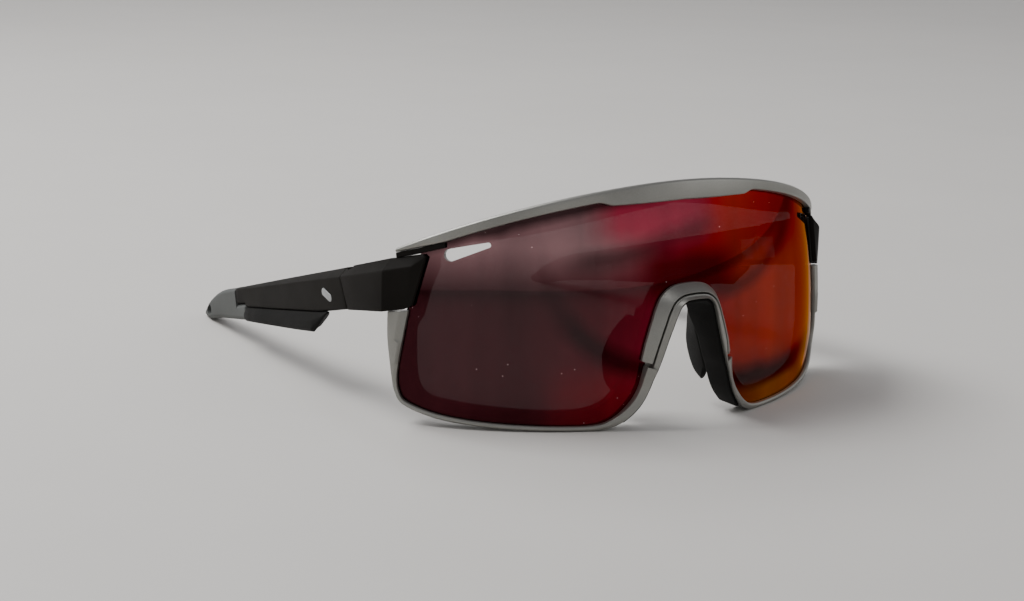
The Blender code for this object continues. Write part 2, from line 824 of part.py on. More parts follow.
def make_tip(side, word):
    """The grey rubber sleeve on the end of the arm, with a lanyard slot near its end."""
    rings = []
    under = (TIP_START, 76, ARM_END + GAP - 0.05)
    behind = (ARM_END + GAP, 86, 92, 98, 103, 107, 110, 112.5, TIP_END)
    for s in under + behind:
        top = tip_top(s)
        if s in under:
            top = STEP_HEIGHT - GAP
        bottom = tip_bottom(s)
        thick = TIP_THICKNESS - TIP_THINNING * max(s - LIFT_START, 0) / (TIP_END - LIFT_START)
        edge = min(SOFT_EDGE, (top - bottom) * 0.25)
        side_in = (arm_thickness(s) - thick) / 2
        outline = (
            (side_in, bottom + edge),
            (side_in, top - edge),
            (side_in + edge, top),
            (side_in + thick - edge, top),
            (side_in + thick, top - edge),
            (side_in + thick, bottom + edge),
            (side_in + thick - edge, bottom),
            (side_in + edge, bottom),
        )
        rings.append([arm_point(side, s, h, t) for t, h in outline])
    tip = loft(f"temple_tip_{word}", rings, "grey_rubber")
    boolean(tip, core_strip(side, f"tip_slot_{word}", GAP), "DIFFERENCE")
    boolean(tip, lanyard_cutter(side, word), "DIFFERENCE")


def core_strip(side, name, extra):
    """The flat metal core that joins the tip to the arm, or with extra the slot that holds it."""
    rings = []
    start = CORE_START - extra
    end = CORE_END + extra
    for k in range(8):
        s = start + (end - start) * k / 7
        low = 0.3 - extra
        high = 2.7 + extra
        near = 1.5 - extra
        far = 2.7 + extra
        section = ((low, near), (high, near), (high, far), (low, far))
        rings.append([arm_point(side, s, h, t) for h, t in section])
    return loft(name, rings, "steel")


def lanyard_cutter(side, word):
    """A long round-ended slot through the end of the tip."""
    outline = []
    for centre, turn in zip(HOLE_S, (math.pi / 2, -math.pi / 2)):
        for k in range(7):
            angle = turn + math.pi * k / 6
            reach = HOLE_RADIUS * math.cos(angle)
            outline.append((centre + reach, HOLE_H + HOLE_RADIUS * math.sin(angle)))
    rings = [[arm_point(side, s, h, t) for s, h in outline] for t in (-4, 9)]
    return loft(f"lanyard_cutter_{word}", rings, "grey_rubber")


def badge_plate(side, name, extra):
    """A plain slanted bar let into the arm's outer face, or with extra its pocket."""
    outline = []
    radius = 1.0 + extra
    for centre_s, centre_h, turn in ((11.9, 0.2, -0.5), (8.3, -1.6, 0.5)):
        for k in range(7):
            angle = math.pi * (turn + 0.15 + k / 6)
            outline.append((centre_s + radius * math.cos(angle), centre_h + radius * math.sin(angle)))
    outer = -0.08 - extra * 2
    inner = 0.5 + extra
    rings = [[arm_point(side, s, h, t) for s, h in outline] for t in (outer, inner)]
    return loft(name, rings, "badge_grey")


def make_end_block(side, word):
    """The faceted block between the front and the hinge: three faces meet on its outer side."""
    rear = -GAP / 2

    def behind(h, x):
        return arm_point(side, rear + PARTING_LEAN * h, h, ARM_FACE_X - x)

    def beside(x, y, h):
        s = (y - HINGE_Y - h * math.sin(ARM_SLOPE)) / math.cos(ARM_SLOPE)
        z = HINGE_Z - s * math.sin(ARM_SLOPE) + h * math.cos(ARM_SLOPE)
        return Vector((side * x, y + FRONT_SHIFT, z)) * MM

    inner = ARM_FACE_X - ARM_THICKNESS
    low = [
        lens_point(side * 72.0, 31.2, 0.35),
        lens_point(side * 72.0, 31.2, 1.6),
        beside(64.8, 31.9, -6.4),
        beside(ARM_FACE_X, 36.5, -6.4),
        behind(-5.1, ARM_FACE_X),
        behind(-5.1, inner),
        beside(inner, 43.0, -5.8),
        beside(64.9, 38.9, -6.0),
        lens_point(side * 77.0, 29.9, 0.35),
    ]
    ledge = [
        lens_point(side * 67.4, 43.7, 0.35),
        lens_point(side * 67.4, 43.7, 1.7),
        beside(63.9, 30.2, 4.0),
        beside(ARM_FACE_X, 36.3, 3.7),
        behind(3.5, ARM_FACE_X),
        behind(3.5, inner),
        beside(inner, 43.0, 3.5),
        beside(63.4, 38.9, 3.6),
        lens_point(side * 72.0, 41.8, 0.35),
    ]
    crown = [
        lens_point(side * 67.9, 44.5, 0.4),
        lens_point(side * 67.9, 44.5, 1.4),
        beside(62.5, 31.8, 6.4),
        beside(65.9, 37.1, 6.8),
        behind(6.0, ARM_FACE_X - 2.7),
        behind(6.0, inner + 0.5),
        beside(inner + 0.5, 43.0, 6.7),
        beside(63.6, 39.3, 6.8),
        lens_point(side * 71.2, 43.4, 0.4),
    ]
    block = loft(f"end_block_{word}", [low, ledge, crown], "black_nylon")
    reach = BLOCK_RELIEF_REACH
    relief = barrel_relief(side, f"block_relief_{word}", -reach, reach, HINGE_RELIEF)
    boolean(block, relief, "DIFFERENCE")
    boolean(block, leaf_pocket(side, f"block_pocket_{word}", -1), "DIFFERENCE")


# ---------------------------------------------------------------- temple hinge


def barrel_relief(side, name, low, high, radius):
    """A round bar on the hinge axis that clears room for the barrel."""
    ends = [hinge_point(side, 0, h, 0) / MM for h in (low, high)]
    return rod(name, ends[0], ends[1], radius, "steel", 24)


def box_at_hinge(side, name, s_range, h_range, inward_range):
    """A box near the hinge with its sides along and across the temple."""
    corners = []
    for s in s_range:
        for h, inward in (
            (h_range[0], inward_range[0]),
            (h_range[1], inward_range[0]),
            (h_range[1], inward_range[1]),
            (h_range[0], inward_range[1]),
        ):
            corners.append(hinge_point(side, s, h, inward))
    return loft(name, [corners[:4], corners[4:]], "steel")


def leaf_pocket(side, name, way):
    """The recess for a leaf's plate, open towards the wearer."""
    near = 0.9
    far = LEAF_LENGTH + GAP
    s_range = sorted((way * near, way * far))
    low = KNUCKLE_LEVELS[0] - GAP
    high = KNUCKLE_LEVELS[3] + GAP
    return box_at_hinge(side, name, s_range, (low, high), (-GAP, 4))


def knuckle(side, name, way, low, high):
    """A round barrel with a short web that reaches into the leaf's plate."""
    outline = [(way * (BARREL_RADIUS + 1.0), 0.2), (way * (BARREL_RADIUS + 1.0), LEAF_PLATE - 0.1)]
    for k in range(15):
        angle = math.radians(50 + 20 * k)
        outline.append((way * BARREL_RADIUS * math.cos(angle), BARREL_RADIUS * math.sin(angle)))
    rings = [[hinge_point(side, s, h, inward) for s, inward in outline] for h in (low, high)]
    return loft(name, rings, "steel")


def make_leaf(side, word, way, knuckles):
    """A hinge leaf: a plate in its pocket and one or two knuckles round the screw."""
    kind = "front" if way < 0 else "temple"
    name = f"{kind}_leaf_{word}"
    plate_range = sorted((way * (BARREL_RADIUS + GAP), way * LEAF_LENGTH))
    levels = (KNUCKLE_LEVELS[0] + 0.2, KNUCKLE_LEVELS[3] - 0.2)
    leaf = box_at_hinge(side, name, plate_range, levels, (0.1, LEAF_PLATE))
    for index, (low, high) in enumerate(knuckles):
        boolean(leaf, knuckle(side, f"{name}_knuckle_{index}", way, low, high), "UNION")
    bore = barrel_relief(side, f"{name}_bore", -LEAF_BORE_REACH, LEAF_BORE_REACH, SCREW_RADIUS + GAP)
    boolean(leaf, bore, "DIFFERENCE")


def make_hinge_screw(side, word):
    """The screw that the temple turns on, with a flat head above the top knuckle."""
    low = KNUCKLE_LEVELS[0] + 0.1
    high = KNUCKLE_LEVELS[3] + GAP
    screw = barrel_relief(side, f"hinge_screw_{word}", low, high + 0.3, SCREW_RADIUS)
    head = barrel_relief(side, f"screw_head_{word}", high, high + 0.6, SCREW_RADIUS * 2)
    slot = box_at_hinge(side, f"screw_slot_{word}", (-0.15, 0.15), (high + 0.35, high + 1), (-2, 2))
    boolean(screw, head, "UNION")
    boolean(screw, slot, "DIFFERENCE")


def make_side(side, word):
    """Every piece that comes in a left and a right copy."""
    make_brow_clip(side, word)
    make_pad(side, word)
    pin_rod(f"pad_pin_{word}", side, PAD_PIN_RADIUS, 0)
    make_end_block(side, word)
    bottom, first, second, top = KNUCKLE_LEVELS
    outer_knuckles = ((bottom, first - GAP / 2), (second + GAP / 2, top))
    make_leaf(side, word, -1, outer_knuckles)
    make_leaf(side, word, 1, ((first + GAP / 2, second - GAP / 2),))
    make_hinge_screw(side, word)
    make_arm(side, word)
    make_grip(side, word)
    make_tip(side, word)
    core_strip(side, f"tip_core_{word}", 0)
    badge_plate(side, f"temple_badge_{word}", 0)


def main():
    clear_scene()
    make_lens()
    make_rim()
    make_bridge_cover()
    make_brow_bar()
    make_carrier()
    make_saddle()
    for side, word in ((-1, "left"), (1, "right")):
        make_side(side, word)


main()
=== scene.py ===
"""Looks for the wraparound shield sunglasses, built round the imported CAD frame.

Lengths are in millimetres until MM turns them into metres. The stage, the camera and the plain numbers
inside the materials are for metres. u runs round the lens from its middle, v up it and w out of it. On a
temple, s runs back from the hinge, h up across it and t in from its outer face.
"""

import math

import bmesh
import bpy
from mathutils import Matrix, Vector


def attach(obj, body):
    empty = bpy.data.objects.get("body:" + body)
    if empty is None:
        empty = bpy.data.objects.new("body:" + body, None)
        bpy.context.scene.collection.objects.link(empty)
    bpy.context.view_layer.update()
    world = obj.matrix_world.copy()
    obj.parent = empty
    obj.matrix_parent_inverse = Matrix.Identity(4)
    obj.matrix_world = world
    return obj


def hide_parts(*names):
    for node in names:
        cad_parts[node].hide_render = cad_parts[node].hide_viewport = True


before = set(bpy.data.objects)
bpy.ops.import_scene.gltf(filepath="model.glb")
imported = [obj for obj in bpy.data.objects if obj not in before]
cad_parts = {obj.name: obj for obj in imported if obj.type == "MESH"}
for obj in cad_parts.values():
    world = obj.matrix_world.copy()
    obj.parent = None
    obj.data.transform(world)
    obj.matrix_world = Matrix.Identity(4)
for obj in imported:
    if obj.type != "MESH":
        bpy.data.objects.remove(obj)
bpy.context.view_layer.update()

MM = 0.001
GAP = 0.12  # left between any two pieces that touch
ARC_POINTS = 17  # on each round end of a slot
CORNER_STEPS = 3
SMOOTH_ANGLE = 34
SPREAD = 240  # reach of the lens's colour patches

# Lens surface
LENS_RADIUS = 83.0
BULGE_RADIUS = 172.0
BULGE_HEIGHT = 43.0
LENS_LEAN = 0.146
LEAN_HEIGHT = 29.0
LENS_THICKNESS = 1.6
TUCK = 2.6  # how much further back the upper corners lie than on a plain barrel
TUCK_U = 73.0
TUCK_LOW = 12.0
TUCK_HIGH = 46.0
TUCK_IN = 0.5
TUCK_BACK = 0.86
TUCK_DROP = 0.22
FRONT_SHIFT = -81.9
FRONT_LIFT = 0.11

# Front frame
BROW_HEIGHT = 62.3
BROW_END = 75.4
BROW_CREST = 10.0
BROW_SLOPE = 0.022
BROW_CURVE = 0.00272
BROW_ROOF = 1.7
BROW_DEPTH = 2.8
BROW_MIDDLE_LOW = 57.4
BROW_MIDDLE_SLOPE = 0.027
BROW_STEP = (19.5, 4.7)  # where the deep middle starts to end, and over what length
BROW_STRAIGHT = 62.0  # the lower edge runs straight outside this place
BROW_STRAIGHT_SLOPE = 0.264
BROW_PROUD = 2.3
BROW_THINNING = 0.8
CLIP_START = 62.5
CLIP_STEP = 69.6
CLIP_BACK = -1.5
CLIP_HEIGHT = 1.3
COLUMN_U = 60.0
COLUMN_FOOT = 12.5
COLUMN_DIP = 0.007
CARRIER_FRONT = -LENS_THICKNESS - GAP
CARRIER_BACK = -4.4
RIM_BACK = -LENS_THICKNESS
SADDLE_FRONT = CARRIER_BACK - GAP
SADDLE_BACK = -7.4
SADDLE_LEG_BACK = -5.8
SADDLE_LEG_TOP = 22.0
SADDLE_LEG_BLEND = 6.0
SADDLE_WIDTH = 2.6
LINING = 0.7
LINING_SET_BACK = 1.2

# Temples
ARM_SLOPE = math.radians(13.77)
HINGE_Y = 57.9
HINGE_Z = 30.25
ARM_FACE_X = 68.8
ARM_INWARD = 10.0
ARM_CURVE_LENGTH = 116.0
ARM_CURVE_POWER = 1.6
PARTING_LEAN = math.tan(math.radians(14.5))
HINGE_AXIS_X = 64.3
HINGE_AXIS_S = -0.6
ARM_THICKNESS = 6.0
ARM_THINNING = 1.8
ARM_THIN_AT = 45.0
ARM_LOW = -5.0
ARM_RISE = 0.0565
ARM_RISE_START = 16.0
ARM_END = 80.2
FACET_EDGE = 3.5
FACET_RISE = 2.4
FACET_FLATTENING = 1.8
FACET_FLAT_AT = 77.0
STEP_HEIGHT = -0.7
GRIP_START = 11.5
GRIP_LEAD = 12.0
GRIP_SLANT = 1.7
GRIP_END = 72.3
GRIP_FRONT_SLOPE = 0.55
GRIP_LOW = -10.05
GRIP_LOW_START = 23.0
GRIP_RISE = 0.086
GRIP_SWELL = 1.1
GRIP_SWELL_DEPTH = 5.0  # the swell is full where the grip is at least this deep
GRIP_SHOULDER = 2.3
SOFT_EDGE = 0.9  # width of the bevel along the rubber's edges
TIP_START = 72.7
TIP_END = 114.7
TIP_HIGH = 4.0
TIP_LOW = -5.6
TIP_THICKNESS = 4.5
TIP_THINNING = 1.6
DROOP_START = 87.0
DROOP = 5.6
DROOP_POWER = 2.2
RISE_LENGTH = 25.0  # the tip's lower edge rises over this length behind its start
LIFT_START = 108.0
LIFT = 1.4
HOLE_S = (106.6, 109.0)
HOLE_H = -1.3
HOLE_RADIUS = 1.4
CORE_START = 64.0
CORE_END = 101.0

# Temple hinge
BLOCK_RELIEF_REACH = 9.0
ARM_RELIEF_LEVELS = (-4.3, 4.2)
LEAF_BORE_REACH = 6.0
BARREL_RADIUS = 1.5
HINGE_RELIEF = 2.5
SCREW_RADIUS = 0.6
KNUCKLE_LEVELS = (-3.9, -2.0, 1.0, 2.9)  # heights where one knuckle ends and the next begins
LEAF_PLATE = 1.2
LEAF_LENGTH = 8.5

# Nose pads
PAD_AXIS_LOW = (12.9, 9.5, 12.0)
PAD_AXIS_HIGH = (8.6, 9.6, 26.6)
PAD_REAR_EDGE = (
    (9.6, 13.5, 27.0),
    (11.6, 16.8, 22.5),
    (13.2, 19.1, 16.0),
    (14.0, 17.0, 9.8),
    (14.2, 13.0, 7.2),
)
# Half thickness of a pad at shares of the way to its rear edge
PAD_FLANK = ((0.3, 1.1), (0.5, 1.0), (0.7, 0.86), (0.82, 0.75), (0.92, 0.56), (0.97, 0.36), (0.985, 0.15))
PAD_BEAD = 1.15
PAD_PIN_RADIUS = 0.45
PIN_DEPTH = 8.0
LUG_LENGTH = 2.6
LUG_RADIUS = 1.5
NECK_RADIUS = 1.2
NECK_FOOT = (6.6, 32.0, -6.4)

# The lens edge from the head of the side column to the middle of the nose: u, v, how far the rim reaches
# beyond the edge, and w at the rim's lens side and its outer side
RIM_STATIONS = (
    (73.7, 29.75, 5.5, 1.0, 1.0),
    (75.9, 22.8, 4.2, 1.0, 0.9),
    (78.1, 16.0, 2.3, 0.9, 0.8),
    (79.2, 12.0, 1.3, 0.9, 0.8),
    (79.3, 8.5, 1.0, 0.9, 0.8),
    (77.6, 5.7, 1.0, 0.9, 0.8),
    (70.0, 3.25, 0.95, 0.9, 0.8),
    (60.9, 2.05, 0.95, 0.9, 0.8),
    (51.8, 1.45, 0.95, 0.9, 0.8),
    (42.0, 1.1, 0.95, 0.9, 0.8),
    (33.0, 1.0, 0.95, 1.0, 0.9),
    (27.5, 1.1, 1.05, 1.1, 1.1),
    (23.5, 1.85, 1.25, 1.4, 1.6),
    (20.2, 3.6, 1.5, 1.7, 2.4),
    (17.4, 6.0, 1.4, 2.0, 3.1),
    (15.5, 8.3, 1.3, 2.1, 3.5),
    (14.1, 11.0, 1.3, 2.2, 3.7),
    (13.2, 14.0, 1.6, 2.5, 3.9),
    (12.6, 16.4, 2.1, 2.9, 4.1),
    (11.6, 20.5, 2.6, 3.5, 4.3),
    (10.5, 24.0, 2.7, 3.8, 4.5),
    (9.3, 27.4, 2.7, 4.0, 4.9),
    (8.1, 30.6, 2.6, 4.2, 5.4),
    (6.5, 33.2, 2.4, 4.3, 5.7),
    (3.8, 34.9, 2.2, 4.4, 5.9),
    (0.0, 35.3, 2.2, 4.4, 6.0),
)
COVER_STATION = 18  # the bridge cover runs from here to the middle
SADDLE_STATION = 13

# Inner edge of the carrier: u, v, and the matching place on its outer edge. Along the rim that is the
# station of the same number, from 1.
CARRIER_BROW = (
    (0.0, 57.0, 0.0),
    (9.0, 55.9, 9.5),
    (17.0, 54.7, 18.0),
    (33.3, 51.6, 34.0),
    (46.0, 49.3, 46.5),
    (56.0, 48.0, 57.0),
    (61.8, 46.6, 63.5),
    (65.2, 43.8, 67.9),
)
CARRIER_SIDE = (
    (65.9, 40.6, 70.6, 43.2),
    (68.6, 35.0, 73.0, 36.5),
    (71.0, 28.6, 75.2, 29.3),
)
CARRIER_RIM = (
    (73.4, 25.0),
    (74.4, 18.0),
    (74.8, 12.5),
    (74.4, 9.4),
    (72.2, 6.9),
    (67.0, 5.9),
    (60.0, 5.2),
    (51.0, 4.6),
    (42.0, 4.2),
    (33.5, 4.2),
    (28.5, 4.7),
    (25.0, 5.7),
    (22.4, 7.2),
    (20.2, 9.4),
    (18.6, 11.6),
    (17.3, 14.0),
    (16.4, 16.4),
    (15.6, 18.8),
    (14.4, 22.4),
    (13.1, 26.0),
    (11.8, 29.6),
    (10.2, 33.2),
    (8.0, 36.2),
    (4.6, 38.2),
    (0.0, 38.8),
)
LENS_TOP_CORNER = (68.4, 46.4)
VENT_OUTER = (61.6, 44.5, 1.55)
VENT_INNER = (51.7, 47.4, 0.65)

# Painted reflections, as soft dark arcs on the mirror coating; the last arc is painted shade under the
# brow.
# In the plane of the front: (x, z) of the middle, radius, half width, tone, and the stretch of x that the
# arc keeps to
REFLECTION_BANDS = (
    ((2, 56), 43, 4.5, 0.3, (-30, -10)),
    ((5, 81), 48, 4.0, 0.45, (14, 60)),
    ((28, 103), 94, 4.0, 0.12, (18, 80)),
    ((-100, 470), 433, 4.5, 0.5, (-26, 4)),
    ((-8, -54), 112, 2.6, 0.22, (-60, -14)),
)
# Painted reflections, as patches of lighter or darker colour on the coating: x from and to, its fade, z
# from and to, its fade, colour
REFLECTION_PATCHES = (
    ((-90, -24), 18, (46, 90), 11, (0.26, 0.13, 0.14)),
    ((-18, 4), 9, (51, 90), 6, (0.31, 0.022, 0.05)),
    ((18, 38), 12, (46, 90), 8, (0.3, 0.006, 0.002)),
    ((-8, 10), 8, (35, 42), 5, (0.1, 0.002, 0.005)),
    ((-22, -14), 16, (1, 9), 9, (0.21, 0.006, 0.014)),
    ((42, 90), 26, (-10, 5.5), 2.5, (0.8, 0.3, 0.02)),
)
# Colours of the coating across the front, from -X to +X
COATING = (
    (0.02, (0.07, 0.016, 0.022)),
    (0.24, (0.09, 0.013, 0.02)),
    (0.42, (0.23, 0.006, 0.024)),
    (0.57, (0.34, 0.003, 0.005)),
    (0.71, (0.42, 0.03, 0.002)),
    (0.87, (0.36, 0.13, 0.005)),
)
# Tones of the sky by the upward share of the direction
SKY = ((0.0, (0.56, 0.555, 0.54)), (0.13, (0.95, 0.94, 0.92)), (0.4, (0.34, 0.34, 0.36)))

# Camera: place in metres, and the lens's focal length in millimetres
CAMERA_PLACE = (-0.3652, -0.6047, 0.172)
CAMERA_FORWARD = (0.50153, 0.83783, -0.21566)
CAMERA_UP = (0.09612, 0.19377, 0.97633)
FOCAL_LENGTH = 90.3


# ---- places


def lens_base(u, v):
    """A place on the lens's front face, in millimetres."""
    angle = u / LENS_RADIUS
    radius = LENS_RADIUS - (v - BULGE_HEIGHT) ** 2 / (2 * BULGE_RADIUS)
    rise = max(v - TUCK_LOW, 0) / (TUCK_HIGH - TUCK_LOW)
    tuck = TUCK * abs(u / TUCK_U) ** 3 * rise
    x = radius * math.sin(angle) - math.copysign(TUCK_IN * tuck, u)
    y = LENS_RADIUS - radius * math.cos(angle) + LENS_LEAN * (v - LEAN_HEIGHT) + TUCK_BACK * tuck
    z = v + FRONT_LIFT - TUCK_DROP * tuck
    return Vector((x, y + FRONT_SHIFT, z))


def lens_normal(u, v):
    """The direction straight out of the lens."""
    step = 0.25
    along = lens_base(u + step, v) - lens_base(u - step, v)
    upward = lens_base(u, v + step) - lens_base(u, v - step)
    return along.cross(upward).normalized()


def lens_point(u, v, w):
    """A place on the lens surface, w out along its normal, in metres."""
    return (lens_base(u, v) + lens_normal(u, v) * w) * MM


def brow_top(u):
    return BROW_HEIGHT - BROW_SLOPE * (math.hypot(u, BROW_CREST) - BROW_CREST) - BROW_CURVE * u * u


def lens_top(u):
    return brow_top(u) - BROW_ROOF


def brow_bottom(u):
    """The lower edge of the brow bar, which steps up outside its deep middle."""
    reach = abs(u)
    middle = BROW_MIDDLE_LOW - BROW_MIDDLE_SLOPE * reach
    outer = brow_top(u) - BROW_DEPTH
    if reach > BROW_STRAIGHT:
        fall = BROW_STRAIGHT_SLOPE * (reach - BROW_STRAIGHT)
        outer = brow_top(BROW_STRAIGHT) - BROW_DEPTH - fall
    step_start, step_length = BROW_STEP
    blend = min(max((reach - step_start) / step_length, 0), 1)
    blend = blend * blend * (3 - 2 * blend)
    return middle * (1 - blend) + outer * blend


def smooth(points, steps):
    """A Catmull-Rom curve through points of any width, with this many steps between neighbours."""
    out = []
    last = len(points) - 1
    for i in range(last):
        before = points[max(i - 1, 0)]
        start = points[i]
        end = points[i + 1]
        after = points[min(i + 2, last)]
        for k in range(steps):
            t = k / steps
            place = []
            for a, b, c, d in zip(before, start, end, after):
                curve = 2 * b + (c - a) * t + (2 * a - 5 * b + 4 * c - d) * t * t
                place.append(0.5 * (curve + (3 * b - a - 3 * c + d) * t**3))
            out.append(tuple(place))
    out.append(tuple(points[last]))
    return out


def mirrored(points):
    return points + [(-p[0], *p[1:]) for p in reversed(points[:-1])]


def with_normals(path):
    """Each point of a (u, v, ...) path with the unit vector that points out of the lens."""
    out = []
    for i, point in enumerate(path):
        ahead = path[min(i + 1, len(path) - 1)]
        behind = path[max(i - 1, 0)]
        du = ahead[0] - behind[0]
        dv = ahead[1] - behind[1]
        length = math.hypot(du, dv)
        normal = (-dv / length, du / length)
        if abs(point[0]) > COLUMN_U and point[1] > COLUMN_FOOT:
            dip = COLUMN_DIP * (point[1] - COLUMN_FOOT)
            normal = (math.copysign(1.0, point[0]), -dip)
        out.append((point, normal))
    return out


def rim_path(first, steps):
    return with_normals(mirrored(smooth(RIM_STATIONS[first:], steps)))


def offset_point(point, normal, a, w):
    """A place that lies a beyond a (u, v, ...) point along its normal and w out from the lens."""
    return lens_point(point[0] + normal[0] * a, point[1] + normal[1] * a, w)


def arm_face(s):
    return ARM_FACE_X - ARM_INWARD * (max(s, 0) / ARM_CURVE_LENGTH) ** ARM_CURVE_POWER


def temple_place(x, s, h):
    """A place in metres from its x, s back along the temple and h up across it."""
    y = HINGE_Y + s * math.cos(ARM_SLOPE) + h * math.sin(ARM_SLOPE) + FRONT_SHIFT
    z = HINGE_Z - s * math.sin(ARM_SLOPE) + h * math.cos(ARM_SLOPE)
    return Vector((x, y, z)) * MM


def arm_point(side, s, h, t):
    return temple_place(side * (arm_face(s) - t), s, h)


def hinge_point(side, s, h, inward):
    return temple_place(side * (HINGE_AXIS_X - inward), HINGE_AXIS_S + s, h)


def round_slot(ends):
    """A slot's outline from its round ends, each given as x, y, radius and the start of its arc."""
    outline = []
    for x, y, radius, start in ends:
        for k in range(ARC_POINTS):
            angle = start + math.pi * k / (ARC_POINTS - 1)
            outline.append((x + radius * math.cos(angle), y + radius * math.sin(angle)))
    return outline


# ---- meshes


def fillet(points, radii):
    """The closed outline with each corner rounded to its radius, or all of them to one."""
    if isinstance(radii, float):
        radii = [radii] * len(points)
    out = []
    count = len(points)
    for i, radius in enumerate(radii):
        corner = Vector(points[i])
        before = Vector(points[i - 1]) - corner
        after = Vector(points[(i + 1) % count]) - corner
        reach = min(radius, min(before.length, after.length) * 0.46)
        start = corner + before.normalized() * reach
        end = corner + after.normalized() * reach
        for k in range(CORNER_STEPS + 1):
            t = k / CORNER_STEPS
            place = start * (1 - t) ** 2 + corner * 2 * t * (1 - t) + end * t * t
            out.append(tuple(place))
    return out


def round_ends(rings, depth):
    """The rings with each end eased over, so that no end is a sharp cut."""
    if depth <= 0:
        return rings
    out = []
    for ring, following in ((rings[0], rings[1]), (rings[-1], rings[-2])):
        centre = sum(ring, Vector()) / len(ring)
        inner = sum(following, Vector()) / len(following)
        inward = (inner - centre).normalized() * depth * MM
        size = max((p - centre).length for p in ring)
        eased = []
        for share, slide in ((1.0, 0.0), (0.38, 0.3), (0.0, 1.0)):
            shrink = 1 - share * min(depth * MM / size, 0.4)
            eased.append([centre + (p - centre) * shrink + inward * slide for p in ring])
        out.append(eased)
    first, last = out
    return first + list(rings[1:-1]) + last[::-1]


def loft(name, rings, finish, closed=False, ends=0.0):
    """An object skinned over rings with equal numbers of points."""
    mesh = bmesh.new()
    if not closed:
        rings = round_ends(rings, ends)
    rows = [[mesh.verts.new(p) for p in ring] for ring in rings]
    count = len(rows[0])
    pairs = list(zip(rows, rows[1:]))
    if closed:
        pairs.append((rows[-1], rows[0]))
    for row, following in pairs:
        for i in range(count):
            j = (i + 1) % count
            mesh.faces.new((row[i], row[j], following[j], following[i]))
    if not closed:
        mesh.faces.new(rows[0][::-1])
        mesh.faces.new(rows[-1])
    bmesh.ops.recalc_face_normals(mesh, faces=mesh.faces)
    return finished(name, mesh, finish)


def shade(obj, angle):
    """Smooth shading, with edges sharper than this many degrees kept hard."""
    obj.data.shade_smooth()
    obj.data.set_sharp_from_angle(angle=math.radians(angle))


def finished(name, mesh, finish):
    data = bpy.data.meshes.new(name)
    mesh.to_mesh(data)
    mesh.free()
    data.materials.append(finish)
    obj = bpy.data.objects.new(name, data)
    shade(obj, SMOOTH_ANGLE)
    bpy.context.scene.collection.objects.link(obj)
    return obj


def bake(obj):
    """Makes the object's modifiers real."""
    graph = bpy.context.evaluated_depsgraph_get()
    made = bpy.data.meshes.new_from_object(obj.evaluated_get(graph))
    obj.modifiers.clear()
    old = obj.data
    obj.data = made
    bpy.data.meshes.remove(old)


def boolean(obj, other, operation="DIFFERENCE"):
    """Cuts or joins obj with another object at once, and removes the other."""
    modifier = obj.modifiers.new("boolean", "BOOLEAN")
    modifier.operation = operation
    modifier.object = other
    modifier.solver = "EXACT"
    bake(obj)
    bpy.data.objects.remove(other, do_unlink=True)


def ease_edges(obj, width):
    """Eases the object's remaining hard edges."""
    modifier = obj.modifiers.new("bevel", "BEVEL")
    modifier.width = width * MM
    modifier.segments = 2
    modifier.limit_method = "ANGLE"
    modifier.angle_limit = math.radians(SMOOTH_ANGLE)
    modifier.harden_normals = True
    modifier.use_clamp_overlap = True
    bake(obj)
    shade(obj, 50)


def rod(name, low, high, radius, finish, sides=32, ends=0.12):
    start = Vector(low)
    axis = Vector(high) - start
    across = axis.orthogonal().normalized()
    up = axis.normalized().cross(across)
    turns = [2 * math.pi * k / sides for k in range(sides)]
    spokes = [(across * math.cos(turn) + up * math.sin(turn)) * radius for turn in turns]
    rings = [[(start + axis * place + spoke) * MM for spoke in spokes] for place in (0.0, 0.5, 1.0)]
    return loft(name, rings, finish, ends=ends)


def keep(obj, body):
    """Hands the piece to the frame: it rides on the body, and the CAD node that it is named after is
    hidden.
    """
    node = obj.name.removesuffix("_piece")
    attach(obj, body)
    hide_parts(node)


# ---- materials


def set_stops(ramp, stops):
    """Gives a colour ramp its stops, each a place with a colour or a grey tone."""
    while len(ramp.elements) < len(stops):
        ramp.elements.new(0.5)
    for element, (place, colour) in zip(ramp.elements, stops):
        element.position = place
        if isinstance(colour, float):
            colour = (colour, colour, colour)
        element.color = (*colour, 1.0)


